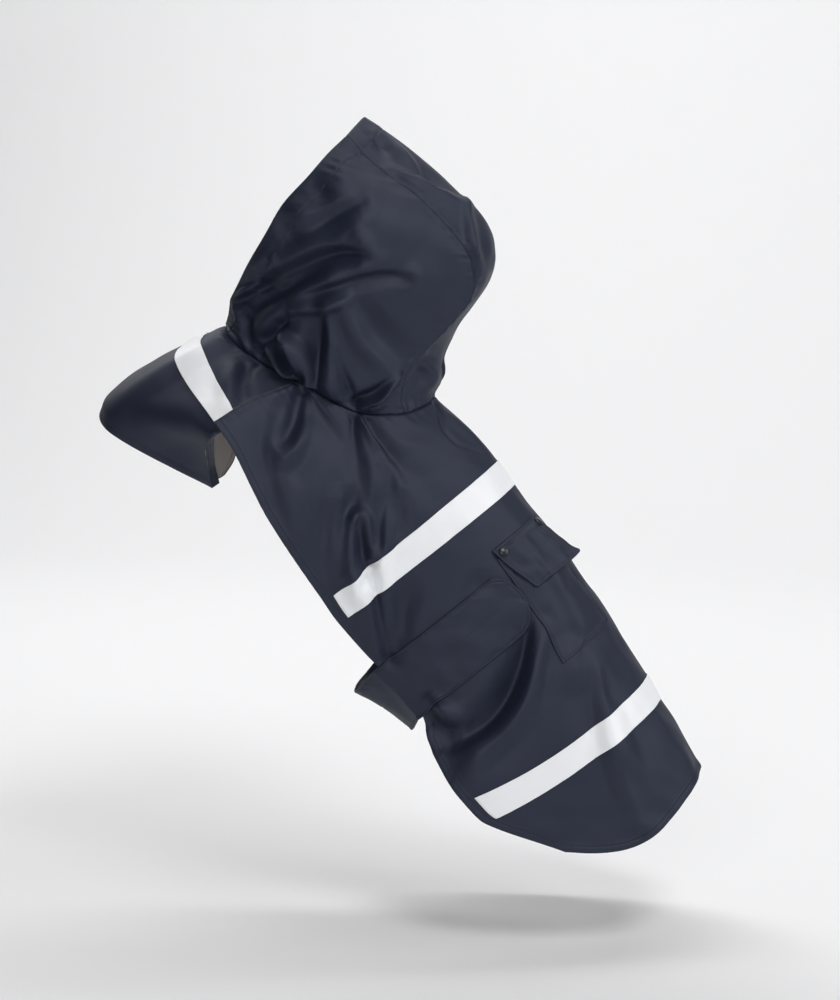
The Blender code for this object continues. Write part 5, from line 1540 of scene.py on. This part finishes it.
lines = edge_lines(strap, strap_from_edge, STRAP_STITCH, ("left", "top", "bottom"))
stitches("belly_band_stitching", "belly_strap", lines)

# ---- floor, light and camera ------------------------------------------------------------------------------

FLOOR_LEVEL = -535.0
FLOOR_HALF, FLOOR_BACK = 6000.0, 2200.0  # half its width and its front part, and where it starts to curve up
COVE, COVE_STEPS = 1200.0, 16
WALL_TOP = 3500.0
VIEW_AZIMUTH, VIEW_ELEVATION = math.radians(6.0), math.radians(8.0)
VIEW_TARGET = Vector((-0.013987, 0.0, -0.104555))  # the middle of the coat
VIEW_DISTANCE = 2.5


def add_floor():
    """Plain pale floor that curves up behind into a wall."""
    angles = [k * math.pi / 2 / COVE_STEPS for k in range(COVE_STEPS + 1)]
    cove = [(FLOOR_BACK + COVE * math.sin(angle), COVE * (1 - math.cos(angle))) for angle in angles]
    profile = [(-FLOOR_HALF, 0.0), *cove, (FLOOR_BACK + COVE, WALL_TOP)]
    vertices = [(x, y, FLOOR_LEVEL + z) for x in (-FLOOR_HALF, FLOOR_HALF) for y, z in profile]
    count = len(profile)
    faces = [(k, k + 1, count + k + 1, count + k) for k in range(count - 1)]
    make_mesh("studio_floor", vertices, faces, [backdrop_paper()])


def add_light(name, place, aim, size, watts):
    """Soft box: a light of this width and height, in metres, at a place and turned to face its aim."""
    lamp = bpy.data.lights.new(name, "AREA")
    lamp.shape = "RECTANGLE"
    lamp.size, lamp.size_y = size
    lamp.energy = watts
    light = bpy.data.objects.new(name, lamp)
    light.location = place
    light.rotation_euler = (Vector(aim) - Vector(place)).to_track_quat("-Z", "Y").to_euler()
    bpy.context.scene.collection.objects.link(light)


add_floor()
add_light("key_softbox", (0.9, -1.8, 2.2), (0, 0, -0.1), (0.9, 0.9), 31)
add_light("side_softbox", (2.4, -0.8, 1.1), (0, 0, -0.1), (1.5, 1.8), 27)
add_light("camera_softbox", (-0.1, -3.0, 0.6), (0, 0, -0.1), (1.0, 1.0), 21)
add_light("overhead_softbox", (-0.3, 0.3, 2.2), (0, 0, 0), (1.6, 1.2), 5)
add_light("rear_softbox", (-1.6, 1.3, 1.7), (0, 0, 0), (1.2, 1.2), 14)
add_light("backdrop_light", (0, 1.0, 2.8), (0, 3.4, 0.4), (3.6, 0.8), 88)

world = bpy.data.worlds.new("studio")
world.use_nodes = True
sky = world.node_tree.nodes["Background"].inputs
sky["Color"].default_value = (1.0, 1.0, 1.0, 1.0)
sky["Strength"].default_value = 0.03
bpy.context.scene.world = world
bpy.context.scene.view_settings.view_transform = "Standard"

level = math.cos(VIEW_ELEVATION)
back = Vector((math.sin(VIEW_AZIMUTH) * level, -math.cos(VIEW_AZIMUTH) * level, math.sin(VIEW_ELEVATION)))
camera_data = bpy.data.cameras.new("camera")
camera_data.sensor_fit = "VERTICAL"
camera_data.sensor_height = 36.0
camera_data.lens = camera_data.sensor_height * VIEW_DISTANCE  # the picture is one metre tall at the coat
camera = bpy.data.objects.new("camera", camera_data)
camera.location = VIEW_TARGET + back * VIEW_DISTANCE
camera.rotation_euler = (-back).to_track_quat("-Z", "Y").to_euler()
bpy.context.scene.collection.objects.link(camera)
bpy.context.scene.camera = camera
